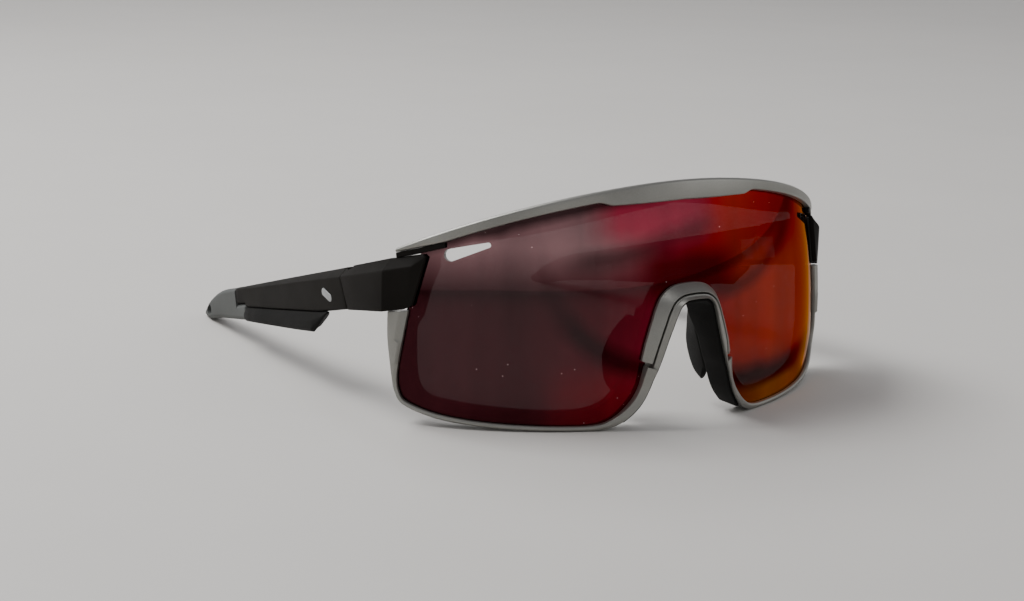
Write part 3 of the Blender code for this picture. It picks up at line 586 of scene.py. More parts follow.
class Look:
    """A Principled material with helpers that add nodes to it."""

    def __init__(self, name):
        self.material = bpy.data.materials.new(name)
        self.material.use_nodes = True
        self.nodes = self.material.node_tree.nodes
        self.links = self.material.node_tree.links
        self.shader = self.nodes["Principled BSDF"]
        self.place = self.nodes.new("ShaderNodeTexCoord").outputs["Object"]

    def feed(self, socket, value):
        """Links another node's output to the socket, or sets a plain value on it."""
        if isinstance(value, bpy.types.NodeSocket):
            self.links.new(value, socket)
        elif socket.type == "RGBA":
            socket.default_value = (*value, 1.0)
        else:
            socket.default_value = value

    def fill(self, node, inputs):
        """Feeds the node's inputs by name, where _ stands for a space."""
        for name, value in inputs.items():
            self.feed(node.inputs[name.replace("_", " ")], value)
        return node

    def set(self, **inputs):
        self.fill(self.shader, inputs)

    def add(self, kind, **inputs):
        return self.fill(self.nodes.new("ShaderNode" + kind), inputs)

    def noise(self, scale, detail=3.0, stretch=None):
        place = self.place
        if stretch:
            place = self.add("Mapping", Vector=place, Scale=stretch).outputs["Vector"]
        return self.add("TexNoise", Vector=place, Scale=scale, Detail=detail).outputs["Fac"]

    def ramp(self, source, stops):
        node = self.add("ValToRGB", Fac=source)
        set_stops(node.color_ramp, stops)
        return node.outputs["Color"]

    def mix(self, factor, first, second, blend="MIX"):
        node = self.add("Mix")
        node.data_type = "RGBA"
        node.blend_type = blend
        for name, value in (("Factor", factor), ("A", first), ("B", second)):
            self.feed(next(i for i in node.inputs if i.name == name and i.enabled), value)
        return next(o for o in node.outputs if o.enabled)

    def maths(self, operation, first, second=0.0):
        node = self.add("Math")
        node.operation = operation
        self.feed(node.inputs[0], first)
        self.feed(node.inputs[1], second)
        return node.outputs[0]

    def specks(self, scale, size):
        """Scattered dots, 1 inside them: size is their radius as a share of the spacing."""
        distance = self.add("TexVoronoi", Vector=self.place, Scale=scale).outputs["Distance"]
        dots = self.ramp(distance, ((size, 1.0), (size * 1.6, 0.0)))
        sparse = self.ramp(self.noise(90, 2), ((0.52, 0.0), (0.58, 1.0)))
        return self.maths("MULTIPLY", dots, sparse)

    def within(self, source, span, fade):
        """1 where a length lies within the span, in millimetres, fading to 0 outside it."""
        share = self.maths("ADD", self.maths("MULTIPLY", source, 1 / (SPREAD * MM)), 0.5)
        places = (span[0] - fade, span[0], span[1], span[1] + fade)
        stops = [(0.5 + place / SPREAD, tone) for place, tone in zip(places, (0.0, 1.0, 1.0, 0.0))]
        return self.ramp(share, stops)

    def reflection_band(self, x, middle, radius, width, dark, span):
        """A painted reflection: a soft dark arc across the front, seen from the front, dark along it and
        1 away from it.
        """
        flat = self.add("Mapping", Vector=self.place, Scale=(1.0, 0.0, 1.0))
        far = self.add("VectorMath")
        far.operation = "DISTANCE"
        self.feed(far.inputs[0], flat.outputs["Vector"])
        self.feed(far.inputs[1], (middle[0] * MM, 0.0, middle[1] * MM))
        wobble = self.maths("MULTIPLY", self.noise(45, 3), 0.006)
        off = self.maths("ADD", far.outputs["Value"], wobble)
        off = self.maths("SUBTRACT", off, radius * MM + 0.003)
        off = self.maths("DIVIDE", self.maths("ABSOLUTE", off), width * MM)
        arc = self.ramp(off, ((0.15, dark), (1.0, 1.0)))
        return self.mix(self.within(x, span, 9), (1.0, 1.0, 1.0), arc)

    def bump(self, height, distance):
        node = self.add("Bump", Height=height, Distance=distance * MM, Strength=1.0)
        self.set(Normal=node.outputs["Normal"])


def painted(name, dark, light, roughness, grain, depth, **values):
    """Paint, plastic or rubber: soft patches, fine grain, and more gloss where it was handled."""
    look = Look(name)
    patch = look.noise(38, 4)
    fine = look.noise(grain, 2)
    tone = look.mix(0.35, patch, fine)
    look.set(Base_Color=look.ramp(tone, ((0.32, dark), (0.68, light))))
    wear = look.mix(0.5, look.noise(90, 6), fine)
    low, high = roughness
    look.set(Roughness=look.ramp(wear, ((0.35, low), (0.65, high))))
    look.bump(fine, depth)
    look.set(**values)
    return look.material


def gunmetal():
    tones = ((0.21, 0.208, 0.191), (0.31, 0.306, 0.282))
    return painted("gunmetal", *tones, (0.33, 0.45), 4200, 0.011, Metallic=0.72)


def black_nylon():
    tones = ((0.0085, 0.0075, 0.0066), (0.014, 0.0125, 0.011))
    return painted("black_nylon", *tones, (0.44, 0.56), 3600, 0.012, Specular_IOR_Level=0.035)


def rubber(name, dark, light):
    values = {"Specular_IOR_Level": 0.08, "Sheen_Weight": 0.02, "Sheen_Roughness": 0.5}
    return painted(name, dark, light, (0.62, 0.82), 2600, 0.018, **values)


def steel():
    look = Look("steel")
    streak = look.noise(700, 3, (1.0, 1.0, 0.06))
    look.set(Base_Color=look.ramp(streak, ((0.3, (0.42, 0.42, 0.42)), (0.7, (0.6, 0.6, 0.6)))))
    look.set(Roughness=look.ramp(look.noise(260, 4), ((0.3, 0.24), (0.7, 0.4))))
    look.bump(streak, 0.004)
    look.set(Metallic=1.0)
    return look.material


def badge_grey():
    tones = ((0.3, 0.31, 0.31), (0.4, 0.41, 0.41))
    return painted("badge_grey", *tones, (0.35, 0.5), 3000, 0.006, Metallic=0.4)


def mirror_lens():
    """The coated face: wine red on one side, through crimson and red, to amber on the other, with painted
    reflections and painted shade laid over it.
    """
    look = Look("mirror_lens")
    split = look.add("SeparateXYZ", Vector=look.place)
    x = split.outputs["X"]
    z = split.outputs["Z"]
    wander = look.maths("MULTIPLY", look.noise(16, 3), 0.02)
    across = look.maths("ADD", x, wander)
    across = look.maths("SUBTRACT", across, look.maths("MULTIPLY", z, 0.12))
    across = look.maths("ADD", look.maths("MULTIPLY", across, 1 / 0.14), 0.44)
    # Painted reflection: the coating is darker towards the bottom of the lens and brighter towards the
    # top
    lift = look.ramp(look.maths("MULTIPLY", z, 16.0), ((0.45, 0.72), (0.8, 1.0)))
    colour = look.mix(1.0, look.ramp(across, COATING), lift, "MULTIPLY")
    drift = look.maths("MULTIPLY", look.noise(40, 3), 0.004)
    height = look.maths("ADD", z, look.maths("SUBTRACT", drift, 0.002))
    # Painted reflections: lighter and darker patches of colour laid over the coating
    for x_span, x_fade, z_span, z_fade, tone in REFLECTION_PATCHES:
        place = look.within(x, x_span, x_fade)
        place = look.maths("MULTIPLY", place, look.within(height, z_span, z_fade))
        colour = look.mix(place, colour, tone)
    streaks = look.ramp(look.noise(70, 4, (1.0, 1.0, 0.07)), ((0.3, 0.62), (0.68, 1.0)))
    colour = look.mix(1.0, colour, streaks, "MULTIPLY")
    # Painted reflections: dark arcs multiplied into the coating, the last one painted shade under the
    # brow
    for reflection_band in REFLECTION_BANDS:
        colour = look.mix(1.0, colour, look.reflection_band(x, *reflection_band), "MULTIPLY")
    speck = look.specks(420, 0.035)
    look.set(Base_Color=look.mix(speck, colour, (0.6, 0.52, 0.5)))
    smear = look.ramp(look.noise(55, 5), ((0.3, 0.015), (0.75, 0.06)))
    look.set(Roughness=look.mix(speck, smear, (0.6, 0.6, 0.6)))
    look.bump(look.noise(26, 1), 0.004)
    look.set(Metallic=1.0, Alpha=0.925, Specular_Tint=(0.8, 0.34, 0.1))
    return look.material


def lens_inside():
    """The uncoated back of the lens: a smoky tint."""
    look = Look("lens_inside")
    tint = ((0.3, (0.012, 0.007, 0.007)), (0.7, (0.02, 0.011, 0.01)))
    look.set(Base_Color=look.ramp(look.noise(30, 3), tint))
    look.set(Roughness=look.ramp(look.noise(60, 5), ((0.3, 0.03), (0.75, 0.1))))
    look.bump(look.noise(26, 1), 0.004)
    look.set(Alpha=0.72, Specular_IOR_Level=0.4)
    return look.material


MIRROR = mirror_lens()
LENS_BACK = lens_inside()
GUNMETAL = gunmetal()
NYLON = black_nylon()
RUBBER = rubber("black_rubber", (0.0042, 0.004, 0.0037), (0.008, 0.0076, 0.007))
GREY_RUBBER = rubber("grey_rubber", (0.08, 0.083, 0.08), (0.115, 0.12, 0.116))
STEEL = steel()
BADGE = badge_grey()


# ---- front


def vent_cutter(side):
    """A tapering slot with round ends."""
    heading = math.atan2(VENT_INNER[1] - VENT_OUTER[1], VENT_INNER[0] - VENT_OUTER[0])
    outline = round_slot(((*VENT_OUTER, heading + math.pi / 2), (*VENT_INNER, heading - math.pi / 2)))
    rings = [[lens_point(side * u, v, w) for u, v in outline] for w in (1.5, -3.5)]
    return loft("vent_cutter", rings, LENS_BACK)


def surface_height(point):
    """How far a place lies out from the lens's front face, and the face's normal there."""
    place = point / MM
    v = place.z - FRONT_LIFT
    u = LENS_RADIUS * math.asin(max(min(place.x / LENS_RADIUS, 1), -1))
    for _ in range(5):
        base = lens_base(u, v)
        along = (lens_base(u + 0.1, v) - base) / 0.1
        upward = (lens_base(u, v + 0.1) - base) / 0.1
        off = place - base
        u += off.dot(along) / along.length_squared
        v += off.dot(upward) / upward.length_squared
    normal = lens_normal(u, v)
    return (place - lens_base(u, v)).dot(normal), normal


def polish(obj):
    """Gives the lens faces the exact normals of its surface, and its back the uncoated material."""
    data = obj.data
    data.materials.clear()
    data.materials.append(MIRROR)
    data.materials.append(LENS_BACK)
    exact = [surface_height(v.co) for v in data.vertices]
    loops = [Vector()] * len(data.loops)
    for face in data.polygons:
        heights = [exact[i][0] for i in face.vertices]
        front = all(abs(h) < 0.05 for h in heights)
        back = all(abs(h + LENS_THICKNESS) < 0.05 for h in heights)
        face.material_index = 0 if front else 1
        face.use_smooth = True
        for loop in face.loop_indices:
            normal = exact[data.loops[loop].vertex_index][1]
            if back:
                normal = -normal
            loops[loop] = normal if front or back else face.normal.copy()
    data.normals_split_custom_set(loops)


def make_lens():
    lower = mirrored(smooth([s[:2] for s in RIM_STATIONS[3:]], 5))
    widest = lower[0][0]
    rows = 26
    mesh = bmesh.new()
    layers = []
    for w in (0.0, -LENS_THICKNESS):
        layer = []
        for u, v in lower:
            top_u = u / widest * LENS_TOP_CORNER[0]
            top_v = lens_top(top_u)
            column = []
            for k in range(rows + 1):
                t = k / rows
                column.append(mesh.verts.new(lens_point(u + (top_u - u) * t, v + (top_v - v) * t, w)))
            layer.append(column)
        layers.append(layer)
    front, back = layers
    count = len(lower)
    for i in range(count - 1):
        for k in range(rows):
            for layer in layers:
                mesh.faces.new((layer[i][k], layer[i + 1][k], layer[i + 1][k + 1], layer[i][k + 1]))
        for k in (0, rows):
            mesh.faces.new((front[i][k], front[i + 1][k], back[i + 1][k], back[i][k]))
    for i in (0, count - 1):
        for k in range(rows):
            mesh.faces.new((front[i][k], front[i][k + 1], back[i][k + 1], back[i][k]))
    bmesh.ops.recalc_face_normals(mesh, faces=mesh.faces)
    lens = finished("shield_lens_piece", mesh, MIRROR)
    for side in (-1, 1):
        boolean(lens, vent_cutter(side))
    polish(lens)
    keep(lens, "front")


def rim_section(station, shoulder):
    """The rim's section, with the corners that show rounded."""
    _, _, out, lens_side, outer = station
    lip = -0.3
    ridge = min(0.35, out - 0.5)
    if out > 4:
        ridge = 1.6
    if shoulder:
        lip = 1.25
        ridge = 1.6
    rise = 0.35 if not shoulder else 0.15
    if out > 2.2 and outer < 1.2:
        rise = 0.9
    outline = (
        (lip, GAP),
        (lip, lens_side),
        (ridge, lens_side + rise),
        (out, outer),
        (out, RIM_BACK),
        (GAP, RIM_BACK),
        (GAP, GAP),
    )
    return fillet(outline, (0.06, 0.16, 0.3, 0.35, 0.25, 0.06, 0.06))


def make_rim():
    steps = 10
    path = rim_path(0, steps)
    first_shoulder = COVER_STATION * steps
    last_shoulder = len(path) - 1 - first_shoulder
    rings = []
    for i, (station, normal) in enumerate(path):
        kinds = [first_shoulder <= i <= last_shoulder]
        if i == first_shoulder:
            kinds = [False, True]
        if i == last_shoulder:
            kinds = [True, False]
        for place, kind in enumerate(kinds):
            slip = 0.0
            if len(kinds) == 2:
                slip = 0.04 * (place - 0.5)
            moved = (station[0] - slip * normal[1], station[1] + slip * normal[0], *station[2:])
            rings.append([offset_point(moved, normal, a, w) for a, w in rim_section(station, kind)])
    keep(loft("lower_rim_piece", rings, GUNMETAL, ends=0.2), "front")


def make_bridge_cover():
    rings = []
    for station, normal in rim_path(COVER_STATION, 10)[3:-3]:
        inner = station[3] - 0.1
        outline = ((-1.5, GAP), (-1.5, 1.1), (-1.2, 1.45), (0.7, inner), (0.9, inner - 0.2), (0.9, 0.66))
        section = fillet(outline, (0.06, 0.2, 0.35, 0.25, 0.2, 0.06))
        rings.append([offset_point(station, normal, a, w) for a, w in section])
    keep(loft("bridge_cover_piece", rings, GUNMETAL, ends=0.25), "front")


def make_brow_bar():
    rings = []
    count = 240
    for k in range(count + 1):
        u = BROW_END * (1 - 2 * k / count)
        low = brow_bottom(u)
        high = brow_top(u)
        shelf = max(lens_top(u) + GAP, low + 0.05)
        proud = BROW_PROUD - BROW_THINNING * (abs(u) / BROW_END) ** 2
        outline = (
            (low, GAP),
            (low, proud - 0.4),
            (low + 0.25, proud - 0.1),
            (high - 0.55, proud),
            (high - 0.1, proud - 0.5),
            (high, proud - 1.2),
            (high - 0.1, CARRIER_BACK),
            (shelf, CARRIER_BACK),
            (shelf, GAP),
        )
        section = fillet(outline, (0.06, 0.25, 0.35, 0.35, 0.25, 0.4, 0.25, 0.12, 0.06))
        rings.append([lens_point(u, v, w) for v, w in section])
    keep(loft("brow_bar_piece", rings, GUNMETAL, ends=0.3), "front")


def make_brow_clip(side, word):
    rings = []
    stations = [(CLIP_START + (CLIP_STEP - CLIP_START) * k / 10, GAP) for k in range(11)]
    stations += [(CLIP_STEP + 0.05 + (BROW_END - CLIP_STEP) * k / 6, CLIP_BACK) for k in range(7)]
    for u, back in stations:
        high = brow_bottom(u) - GAP
        low = high - CLIP_HEIGHT
        section = fillet(((low, back), (low, 1.1), (high, 1.2), (high, back)), (0.05, 0.2, 0.1, 0.05))
        rings.append([lens_point(side * u, v, w) for v, w in section])
    keep(loft(f"brow_clip_{word}_piece", rings, NYLON, ends=0.15), "front")


def carrier_half():
    pairs = [(u, v, over, lens_top(over)) for u, v, over in CARRIER_BROW]
    pairs += CARRIER_SIDE
    stations = with_normals(RIM_STATIONS)
    for index, (u, v) in enumerate(CARRIER_RIM, 1):
        station, normal = stations[index]
        reach = station[2] + (0.2 if index < SADDLE_STATION else 0.0)
        if index == len(RIM_STATIONS) - 1:
            normal = (0.0, -1.0)
        pairs.append((u, v, station[0] + normal[0] * reach, station[1] + normal[1] * reach))
    return pairs


def make_carrier():
    half = smooth(carrier_half(), 8)
    other = [(-a, b, -c, d) for a, b, c, d in reversed(half[1:-1])]
    rings = []
    for inner_u, inner_v, outer_u, outer_v in half + other:
        reach = math.hypot(outer_u - inner_u, outer_v - inner_v)
        outline = ((0, CARRIER_FRONT), (0, CARRIER_BACK), (reach, CARRIER_BACK), (reach, CARRIER_FRONT))
        section = fillet(outline, (0.1, 0.3, 0.4, 0.15))
        inward = ((inner_u - outer_u) / reach, (inner_v - outer_v) / reach)
        rings.append([offset_point((outer_u, outer_v), inward, a, w) for a, w in section])
    keep(loft("lens_carrier_piece", rings, NYLON, closed=True), "front")


def pad_axis_point(side, beyond):
    low = Vector(PAD_AXIS_LOW)
    high = Vector(PAD_AXIS_HIGH)
    place = high + (high - low).normalized() * beyond
    return Vector((side * place.x, place.y + FRONT_SHIFT, place.z))


def make_saddle():
    rings = []
    for station, normal in rim_path(SADDLE_STATION, 8):
        wall = station[2] + GAP
        inner = wall + LINING
        front = station[4] - LINING_SET_BACK
        deep = min(max((station[1] - SADDLE_LEG_TOP) / SADDLE_LEG_BLEND, 0), 1)
        back = SADDLE_LEG_BACK + (SADDLE_BACK - SADDLE_LEG_BACK) * deep
        outline = (
            (wall, SADDLE_FRONT),
            (wall, front),
            (inner, front),
            (inner, back + 0.6),
            (inner - 0.6, back),
            (inner - SADDLE_WIDTH + 0.5, back),
            (inner - SADDLE_WIDTH, back + 0.5),
            (inner - SADDLE_WIDTH, SADDLE_FRONT),
        )
        section = fillet(outline, (0.05, 0.05, 0.25, 0.3, 0.3, 0.3, 0.3, 0.1))
        rings.append([offset_point(station, normal, a, w) for a, w in section])
    saddle = loft("nose_saddle_piece", rings, RUBBER, ends=0.4)
    for side in (-1, 1):
        foot = lens_point(side * NECK_FOOT[0], *NECK_FOOT[1:]) / MM
        head = pad_axis_point(side, LUG_LENGTH / 2 + 0.2)
        boolean(saddle, rod("neck", head, foot, NECK_RADIUS, RUBBER), "UNION")
        ends = (pad_axis_point(side, GAP), pad_axis_point(side, LUG_LENGTH))
        boolean(saddle, rod("lug", *ends, LUG_RADIUS, RUBBER), "UNION")
        boolean(saddle, pin_rod("bore", side, PAD_PIN_RADIUS + GAP, 0.5, 0))
    ease_edges(saddle, 0.12)
    keep(saddle, "front")


def pin_rod(name, side, radius, extra, ends=0.1):
    places = (pad_axis_point(side, -PIN_DEPTH - extra), pad_axis_point(side, LUG_LENGTH + extra))
    return rod(name, *places, radius, STEEL, 24, ends)


def make_pad(side, word):
    rear = smooth(PAD_REAR_EDGE, 12)
    low = Vector(PAD_AXIS_LOW)
    high = Vector(PAD_AXIS_HIGH)
    down = (low - high).normalized()
    rings = []
    for k, point in enumerate(rear):
        root = high.lerp(low, k / (len(rear) - 1))
        blade = Vector(point) - root
        across = blade.cross(down).normalized()
        forward = across.cross(down).normalized()
        if forward.dot(blade) < 0:
            forward.negate()
        ring = []
        for j in range(13):
            angle = math.pi / 2 + math.pi * j / 12
            spoke = across * math.sin(angle) + forward * math.cos(angle)
            ring.append(root + spoke * PAD_BEAD)
        ring += [root + blade * share - across * half for share, half in PAD_FLANK]
        ring += [root + blade * share + across * half for share, half in reversed(PAD_FLANK)]
        rings.append([Vector((side * p.x, p.y + FRONT_SHIFT, p.z)) * MM for p in ring])
    pad = loft(f"nose_pad_{word}_piece", rings, RUBBER, ends=0.4)
    boolean(pad, pin_rod("bore", side, PAD_PIN_RADIUS + GAP, 0.5, 0))
    shade(pad, 40)
    keep(pad, f"{word}_pad")
    keep(pin_rod(f"pad_pin_{word}_piece", side, PAD_PIN_RADIUS, 0), "front")


# ---- temples


def arm_bottom(s):
    return ARM_LOW + ARM_RISE * max(s - ARM_RISE_START, 0)


def arm_thickness(s):
    return ARM_THICKNESS - ARM_THINNING * min(max(s / ARM_THIN_AT, 0), 1)


def facet_rise(s):
    return FACET_RISE - FACET_FLATTENING * min(max(s / FACET_FLAT_AT, 0), 1)


def arm_section(s, bottom, parting=0.0):
    """Points round the arm at s; parting leans the whole section to match the joint line."""
    thick = arm_thickness(s)
    rise = facet_rise(s)
    inset = 0.6 + rise * 0.9
    outline = (
        (0.0, bottom + 0.5),
        (0.0, FACET_EDGE),
        (inset, FACET_EDGE + rise),
        (thick - 0.6, FACET_EDGE + rise),
        (thick, FACET_EDGE - 0.6 + rise),
        (thick, bottom + 0.6),
        (thick - 0.6, bottom),
        (0.5, bottom),
    )
    section = fillet(outline, (0.3, 0.28, 0.4, 0.3, 0.3, 0.3, 0.3, 0.3))
    return [(s + parting * h, h, t) for t, h in section]


def barrel_relief(side, name, low, high, radius, ends=0.0):
    places = [hinge_point(side, 0, h, 0) / MM for h in (low, high)]
    return rod(name, *places, radius, STEEL, 48, ends)


def box_at_hinge(side, name, s_range, h_range, inward_range):
    low, high = h_range
    near, far = inward_range
    corners = ((low, near), (high, near), (high, far), (low, far))
    rings = [[hinge_point(side, s, h, inward) for h, inward in corners] for s in s_range]
    return loft(name, rings, STEEL)


def leaf_pocket(side, way):
    """The recess for a leaf's plate, open towards the wearer."""
    s_range = sorted((way * 0.9, way * (LEAF_LENGTH + GAP)))
    low = KNUCKLE_LEVELS[0] - GAP
    high = KNUCKLE_LEVELS[3] + GAP
    return box_at_hinge(side, "pocket", s_range, (low, high), (-GAP, 4))


def core_strip(side, name, extra):
    """The flat metal core that joins the tip to the arm, or with extra the slot that holds it."""
    start = CORE_START - extra
    end = CORE_END + extra
    low = 0.3 - extra
    high = 2.7 + extra
    near = 1.5 - extra
    far = 2.7 + extra
    corners = ((low, near), (high, near), (high, far), (low, far))
    stations = [start + (end - start) * k / 17 for k in range(18)]
    rings = [[arm_point(side, s, h, t) for h, t in corners] for s in stations]
    return loft(name, rings, STEEL)


def badge_plate(side, name, extra):
    """A plain slanted bar let into the arm's outer face, or with extra its pocket."""
    radius = 1.0 + extra
    outline = round_slot(((11.9, 0.2, radius, -0.35 * math.pi), (8.3, -1.6, radius, 0.65 * math.pi)))
    outer = -0.08 - extra * 2
    inner = 0.5 + extra
    levels = (outer, (outer + inner) / 2, inner)
    rings = [[arm_point(side, s, h, t) for s, h in outline] for t in levels]
    return loft(name, rings, BADGE, ends=0.0 if extra else 0.08)


def make_arm(side, word):
    sections = [arm_section(GAP / 2, arm_bottom(0), PARTING_LEAN)]
    stations = [1.5 + 0.5 * k for k in range(3)] + [4 + 2.3 * k for k in range(30)]
    for s in stations + [GRIP_END + GAP - 0.05]:
        lean = PARTING_LEAN * max(1 - s / 4, 0)
        sections.append(arm_section(s, arm_bottom(s), lean))
    sections += [arm_section(s, STEP_HEIGHT) for s in (GRIP_END + GAP, 74, 76, 78, ARM_END)]
    rings = [[arm_point(side, *p) for p in section] for section in sections]
    arm = loft(f"temple_arm_{word}_piece", rings, NYLON, ends=0.2)
    boolean(arm, barrel_relief(side, "relief", *ARM_RELIEF_LEVELS, BARREL_RADIUS + 0.5))
    boolean(arm, leaf_pocket(side, 1))
    boolean(arm, core_strip(side, "slot", GAP))
    boolean(arm, badge_plate(side, "pocket", 0.1))
    shade(arm, 30)
    keep(arm, f"{word}_temple")


def grip_bottom(s):
    front = arm_bottom(s) - GAP - 0.5 - (s - GRIP_START) * GRIP_FRONT_SLOPE
    run = GRIP_LOW + (s - GRIP_LOW_START) * GRIP_RISE
    return max(front, run)


def make_grip(side, word):
    rings = []
    stations = [GRIP_START + 0.75 * k for k in range(16)] + [24 + 2 * k for k in range(23)] + [GRIP_END]
    for s in stations:
        top = arm_bottom(s) - GAP
        bottom = grip_bottom(s)
        depth = top - bottom
        thick = arm_thickness(s)
        swell = GRIP_SWELL * min(depth / GRIP_SWELL_DEPTH, 1)
        shoulder = top - min(GRIP_SHOULDER, depth * 0.45)
        edge = min(SOFT_EDGE, depth * 0.2)
        ease = min((s - GRIP_START) / GRIP_LEAD, 1)
        far = 0.9 + (thick + swell - 0.9) * ease
        far_bottom = grip_bottom(max(s - GRIP_SLANT * far, GRIP_START))
        far_bottom = max(bottom, min(far_bottom, top - 0.5))
        far_depth = top - far_bottom
        far_edge = min(SOFT_EDGE, far_depth * 0.2)
        outline = (
            (0.1, top),
            (-swell, shoulder),
            (-swell, bottom + edge),
            (edge - swell, bottom),
            (far - far_edge, far_bottom),
            (far, far_bottom + far_edge),
            (far, top - min(GRIP_SHOULDER, far_depth * 0.45)),
            (far - 0.1 - swell * ease, top),
        )
        section = fillet(outline, (0.15, 0.35, 0.35, 0.4, 0.4, 0.35, 0.35, 0.15))
        rings.append([arm_point(side, s, h, t) for t, h in section])
    grip = loft(f"temple_grip_{word}_piece", rings, RUBBER, ends=0.25)
    keep(grip, f"{word}_temple")


def tip_top(s):
    droop = max(s - DROOP_START, 0) / (TIP_END - DROOP_START)
    return TIP_HIGH - DROOP * droop**DROOP_POWER


def tip_bottom(s):
    lift = max(s - LIFT_START, 0) / (TIP_END - LIFT_START)
    return TIP_LOW + LIFT * min((s - TIP_START) / RISE_LENGTH, 1) + LIFT * lift**2


def lanyard_cutter(side):
    turns = (math.pi / 2, -math.pi / 2)
    outline = round_slot((s, HOLE_H, HOLE_RADIUS, turn) for s, turn in zip(HOLE_S, turns))
    rings = [[arm_point(side, s, h, t) for s, h in outline] for t in (-4, 9)]
    return loft("lanyard_cutter", rings, GREY_RUBBER)


def make_tip(side, word):
    rings = []
    under = [TIP_START, 74, 76, 78, ARM_END + GAP - 0.05]
    behind = [ARM_END + GAP] + [82 + 1.3 * k for k in range(25)] + [TIP_END]
    for s in under + behind:
        top = tip_top(s)
        if s in under:
            top = STEP_HEIGHT - GAP
        bottom = tip_bottom(s)
        thick = TIP_THICKNESS - TIP_THINNING * max(s - LIFT_START, 0) / (TIP_END - LIFT_START)
        edge = min(SOFT_EDGE, (top - bottom) * 0.25)
        side_in = (arm_thickness(s) - thick) / 2
        outline = (
            (side_in, bottom + edge),
            (side_in, top - edge),
            (side_in + edge, top),
            (side_in + thick - edge, top),
            (side_in + thick, top - edge),
            (side_in + thick, bottom + edge),
            (side_in + thick - edge, bottom),
            (side_in + edge, bottom),
        )
        rings.append([arm_point(side, s, h, t) for t, h in fillet(outline, 0.4)])
    tip = loft(f"temple_tip_{word}_piece", rings, GREY_RUBBER, ends=0.5)
    boolean(tip, core_strip(side, "slot", GAP))
    boolean(tip, lanyard_cutter(side))
    shade(tip, SMOOTH_ANGLE)
    keep(tip, f"{word}_temple")


def make_end_block(side, word):
    def behind(h, x):
        return arm_point(side, PARTING_LEAN * h - GAP / 2, h, ARM_FACE_X - x)

    def beside(x, y, h):
        s = (y - HINGE_Y - h * math.sin(ARM_SLOPE)) / math.cos(ARM_SLOPE)
        return temple_place(side * x, s, h)

    def front(u, v, w):
        return lens_point(side * u, v, w)

    def between(first, second, share):
        return [a.lerp(b, share) for a, b in zip(first, second)]

    inner = ARM_FACE_X - ARM_THICKNESS
    low = [
        front(72.0, 31.2, 0.35),
        front(72.0, 31.2, 1.6),
        beside(64.8, 31.9, -6.4),
        beside(ARM_FACE_X, 36.5, -6.4),
        behind(-5.1, ARM_FACE_X),
        behind(-5.1, inner),
        beside(inner, 43.0, -5.8),
        beside(64.9, 38.9, -6.0),
        front(77.0, 29.9, 0.35),
    ]
    ledge = [
        front(67.4, 43.7, 0.35),
        front(67.4, 43.7, 1.7),
        beside(63.9, 30.2, 4.0),
        beside(ARM_FACE_X, 36.3, 3.7),
        behind(3.5, ARM_FACE_X),
        behind(3.5, inner),
        beside(inner, 43.0, 3.5),
        beside(63.4, 38.9, 3.6),
        front(72.0, 41.8, 0.35),
    ]
    crown = [
        front(67.9, 44.5, 0.4),
        front(67.9, 44.5, 1.4),
        beside(62.5, 31.8, 6.4),
        beside(65.9, 37.1, 6.8),
        behind(6.0, ARM_FACE_X - 2.7),
        behind(6.0, inner + 0.5),
        beside(inner + 0.5, 43.0, 6.7),
        beside(63.6, 39.3, 6.8),
        front(71.2, 43.4, 0.4),
    ]
    under = between(low, ledge, 0.965)
    over = between(ledge, crown, 0.12)
    bend = between(between(under, over, 0.5), ledge, 0.5)
    rings = [low, between(low, ledge, 0.5), under, bend, over, crown]
    rings = [[Vector(p) for p in fillet(ring, 0.3 * MM)] for ring in rings]
    block = loft(f"end_block_{word}_piece", rings, NYLON, ends=0.3)
    reach = BLOCK_RELIEF_REACH
    boolean(block, barrel_relief(side, "relief", -reach, reach, HINGE_RELIEF))
    boolean(block, leaf_pocket(side, -1))
    shade(block, 38)
    keep(block, "front")


# ---- temple hinge


def knuckle(side, way, low, high):
    """A round barrel with a short web that reaches into the leaf's plate."""
    outline = [(way * (BARREL_RADIUS + 1.0), 0.2), (way * (BARREL_RADIUS + 1.0), LEAF_PLATE - 0.1)]
    for k in range(41):
        angle = math.radians(50 + 7 * k)
        outline.append((way * BARREL_RADIUS * math.cos(angle), BARREL_RADIUS * math.sin(angle)))
    rings = [[hinge_point(side, s, h, inward) for s, inward in outline] for h in (low, high)]
    return loft("knuckle", rings, STEEL)


def make_leaf(side, word, way, knuckles):
    kind = "front" if way < 0 else "temple"
    body = "front" if way < 0 else f"{word}_temple"
    plate_range = sorted((way * (BARREL_RADIUS + GAP), way * LEAF_LENGTH))
    levels = (KNUCKLE_LEVELS[0] + 0.2, KNUCKLE_LEVELS[3] - 0.2)
    leaf = box_at_hinge(side, f"{kind}_leaf_{word}_piece", plate_range, levels, (0.1, LEAF_PLATE))
    for low, high in knuckles:
        boolean(leaf, knuckle(side, way, low, high), "UNION")
    reach = LEAF_BORE_REACH
    boolean(leaf, barrel_relief(side, "bore", -reach, reach, SCREW_RADIUS + GAP))
    ease_edges(leaf, 0.1)
    keep(leaf, body)


def make_hinge_screw(side, word):
    low = KNUCKLE_LEVELS[0] + 0.1
    high = KNUCKLE_LEVELS[3] + GAP
    screw = barrel_relief(side, f"hinge_screw_{word}_piece", low, high + 0.3, SCREW_RADIUS, 0.1)
    boolean(screw, barrel_relief(side, "head", high, high + 0.6, SCREW_RADIUS * 2, 0.12), "UNION")
    boolean(screw, box_at_hinge(side, "slot", (-0.15, 0.15), (high + 0.35, high + 1), (-2, 2)))
    keep(screw, "front")


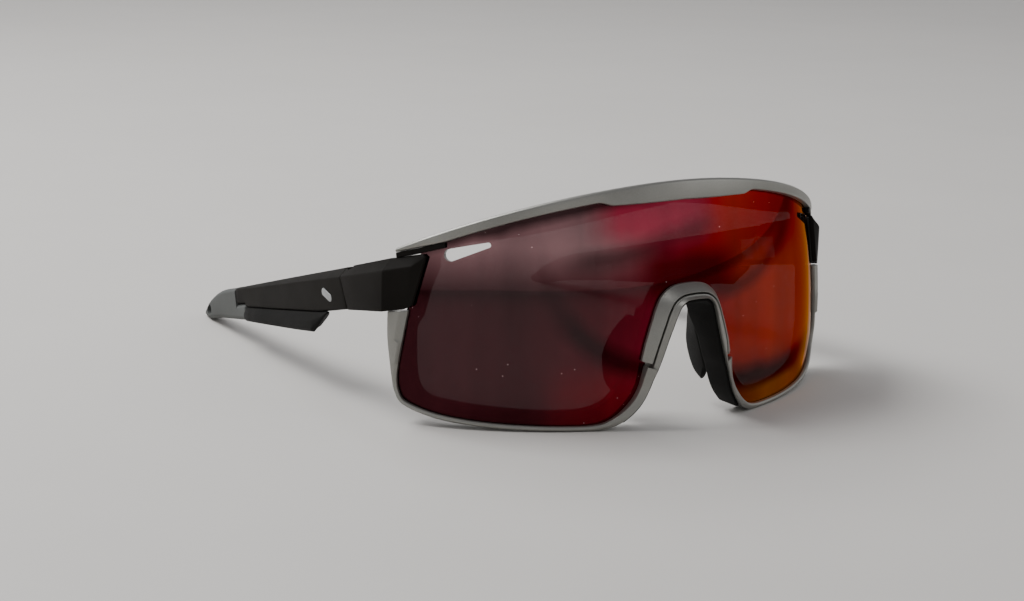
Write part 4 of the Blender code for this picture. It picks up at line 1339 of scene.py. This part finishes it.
def make_side(side, word):
    make_brow_clip(side, word)
    make_pad(side, word)
    make_end_block(side, word)
    bottom, first, second, top = KNUCKLE_LEVELS
    make_leaf(side, word, -1, ((bottom, first - GAP / 2), (second + GAP / 2, top)))
    make_leaf(side, word, 1, ((first + GAP / 2, second - GAP / 2),))
    make_hinge_screw(side, word)
    make_arm(side, word)
    make_grip(side, word)
    make_tip(side, word)
    temple = f"{word}_temple"
    keep(core_strip(side, f"tip_core_{word}_piece", 0), temple)
    keep(badge_plate(side, f"temple_badge_{word}_piece", 0), temple)


# ---- stage


def floor_grey():
    look = Look("floor")
    colour = (0.62, 0.6, 0.57)
    darker = tuple(c * 0.97 for c in colour)
    look.set(Base_Color=look.ramp(look.noise(9, 4), ((0.3, darker), (0.7, colour))))
    look.set(Roughness=look.ramp(look.noise(30, 3), ((0.3, 0.6), (0.7, 0.68))))
    look.bump(look.noise(900, 2), 0.01)
    return look.material


def area_light(name, place, target, size, energy):
    data = bpy.data.lights.new(name, "AREA")
    data.shape = "RECTANGLE"
    data.size, data.size_y = size
    data.energy = energy
    obj = bpy.data.objects.new(name, data)
    bpy.context.scene.collection.objects.link(obj)
    obj.location = place
    obj.rotation_euler = (Vector(target) - Vector(place)).to_track_quat("-Z", "Y").to_euler()


def make_stage():
    mesh = bmesh.new()
    half = 2.5
    corners = ((-half, -half), (half, -half), (half, half), (-half, half))
    mesh.faces.new([mesh.verts.new((x, y, 0)) for x, y in corners])
    finished("floor", mesh, floor_grey())

    world = bpy.data.worlds.new("studio")
    world.use_nodes = True
    sky = world.node_tree
    heading = sky.nodes.new("ShaderNodeTexCoord")
    split = sky.nodes.new("ShaderNodeSeparateXYZ")
    tones = sky.nodes.new("ShaderNodeValToRGB")
    set_stops(tones.color_ramp, SKY)
    sky.links.new(heading.outputs["Generated"], split.inputs[0])
    sky.links.new(split.outputs["Z"], tones.inputs["Fac"])
    sky.links.new(tones.outputs["Color"], sky.nodes["Background"].inputs["Color"])
    sky.nodes["Background"].inputs["Strength"].default_value = 0.95
    bpy.context.scene.world = world
    centre = (0, -0.02, 0.03)
    area_light("key", (-0.45, 0.35, 0.9), centre, (0.7, 0.5), 11)
    area_light("fill", (0.8, -0.7, 0.6), centre, (0.8, 0.6), 1.8)
    area_light("rim_light", (-0.1, 0.95, 0.85), centre, (0.9, 0.3), 4.5)


def make_camera():
    data = bpy.data.cameras.new("camera")
    data.sensor_width = 36
    data.lens = FOCAL_LENGTH
    data.clip_start = 0.01
    camera = bpy.data.objects.new("camera", data)
    bpy.context.scene.collection.objects.link(camera)
    forward = Vector(CAMERA_FORWARD).normalized()
    right = forward.cross(Vector(CAMERA_UP)).normalized()
    up = right.cross(forward)
    turn = Matrix((right, up, -forward)).transposed().to_4x4()
    camera.matrix_world = Matrix.Translation(CAMERA_PLACE) @ turn
    bpy.context.scene.camera = camera


def main():
    make_lens()
    make_rim()
    make_bridge_cover()
    make_brow_bar()
    make_carrier()
    make_saddle()
    for side, word in ((-1, "left"), (1, "right")):
        make_side(side, word)
    make_stage()
    make_camera()


main()
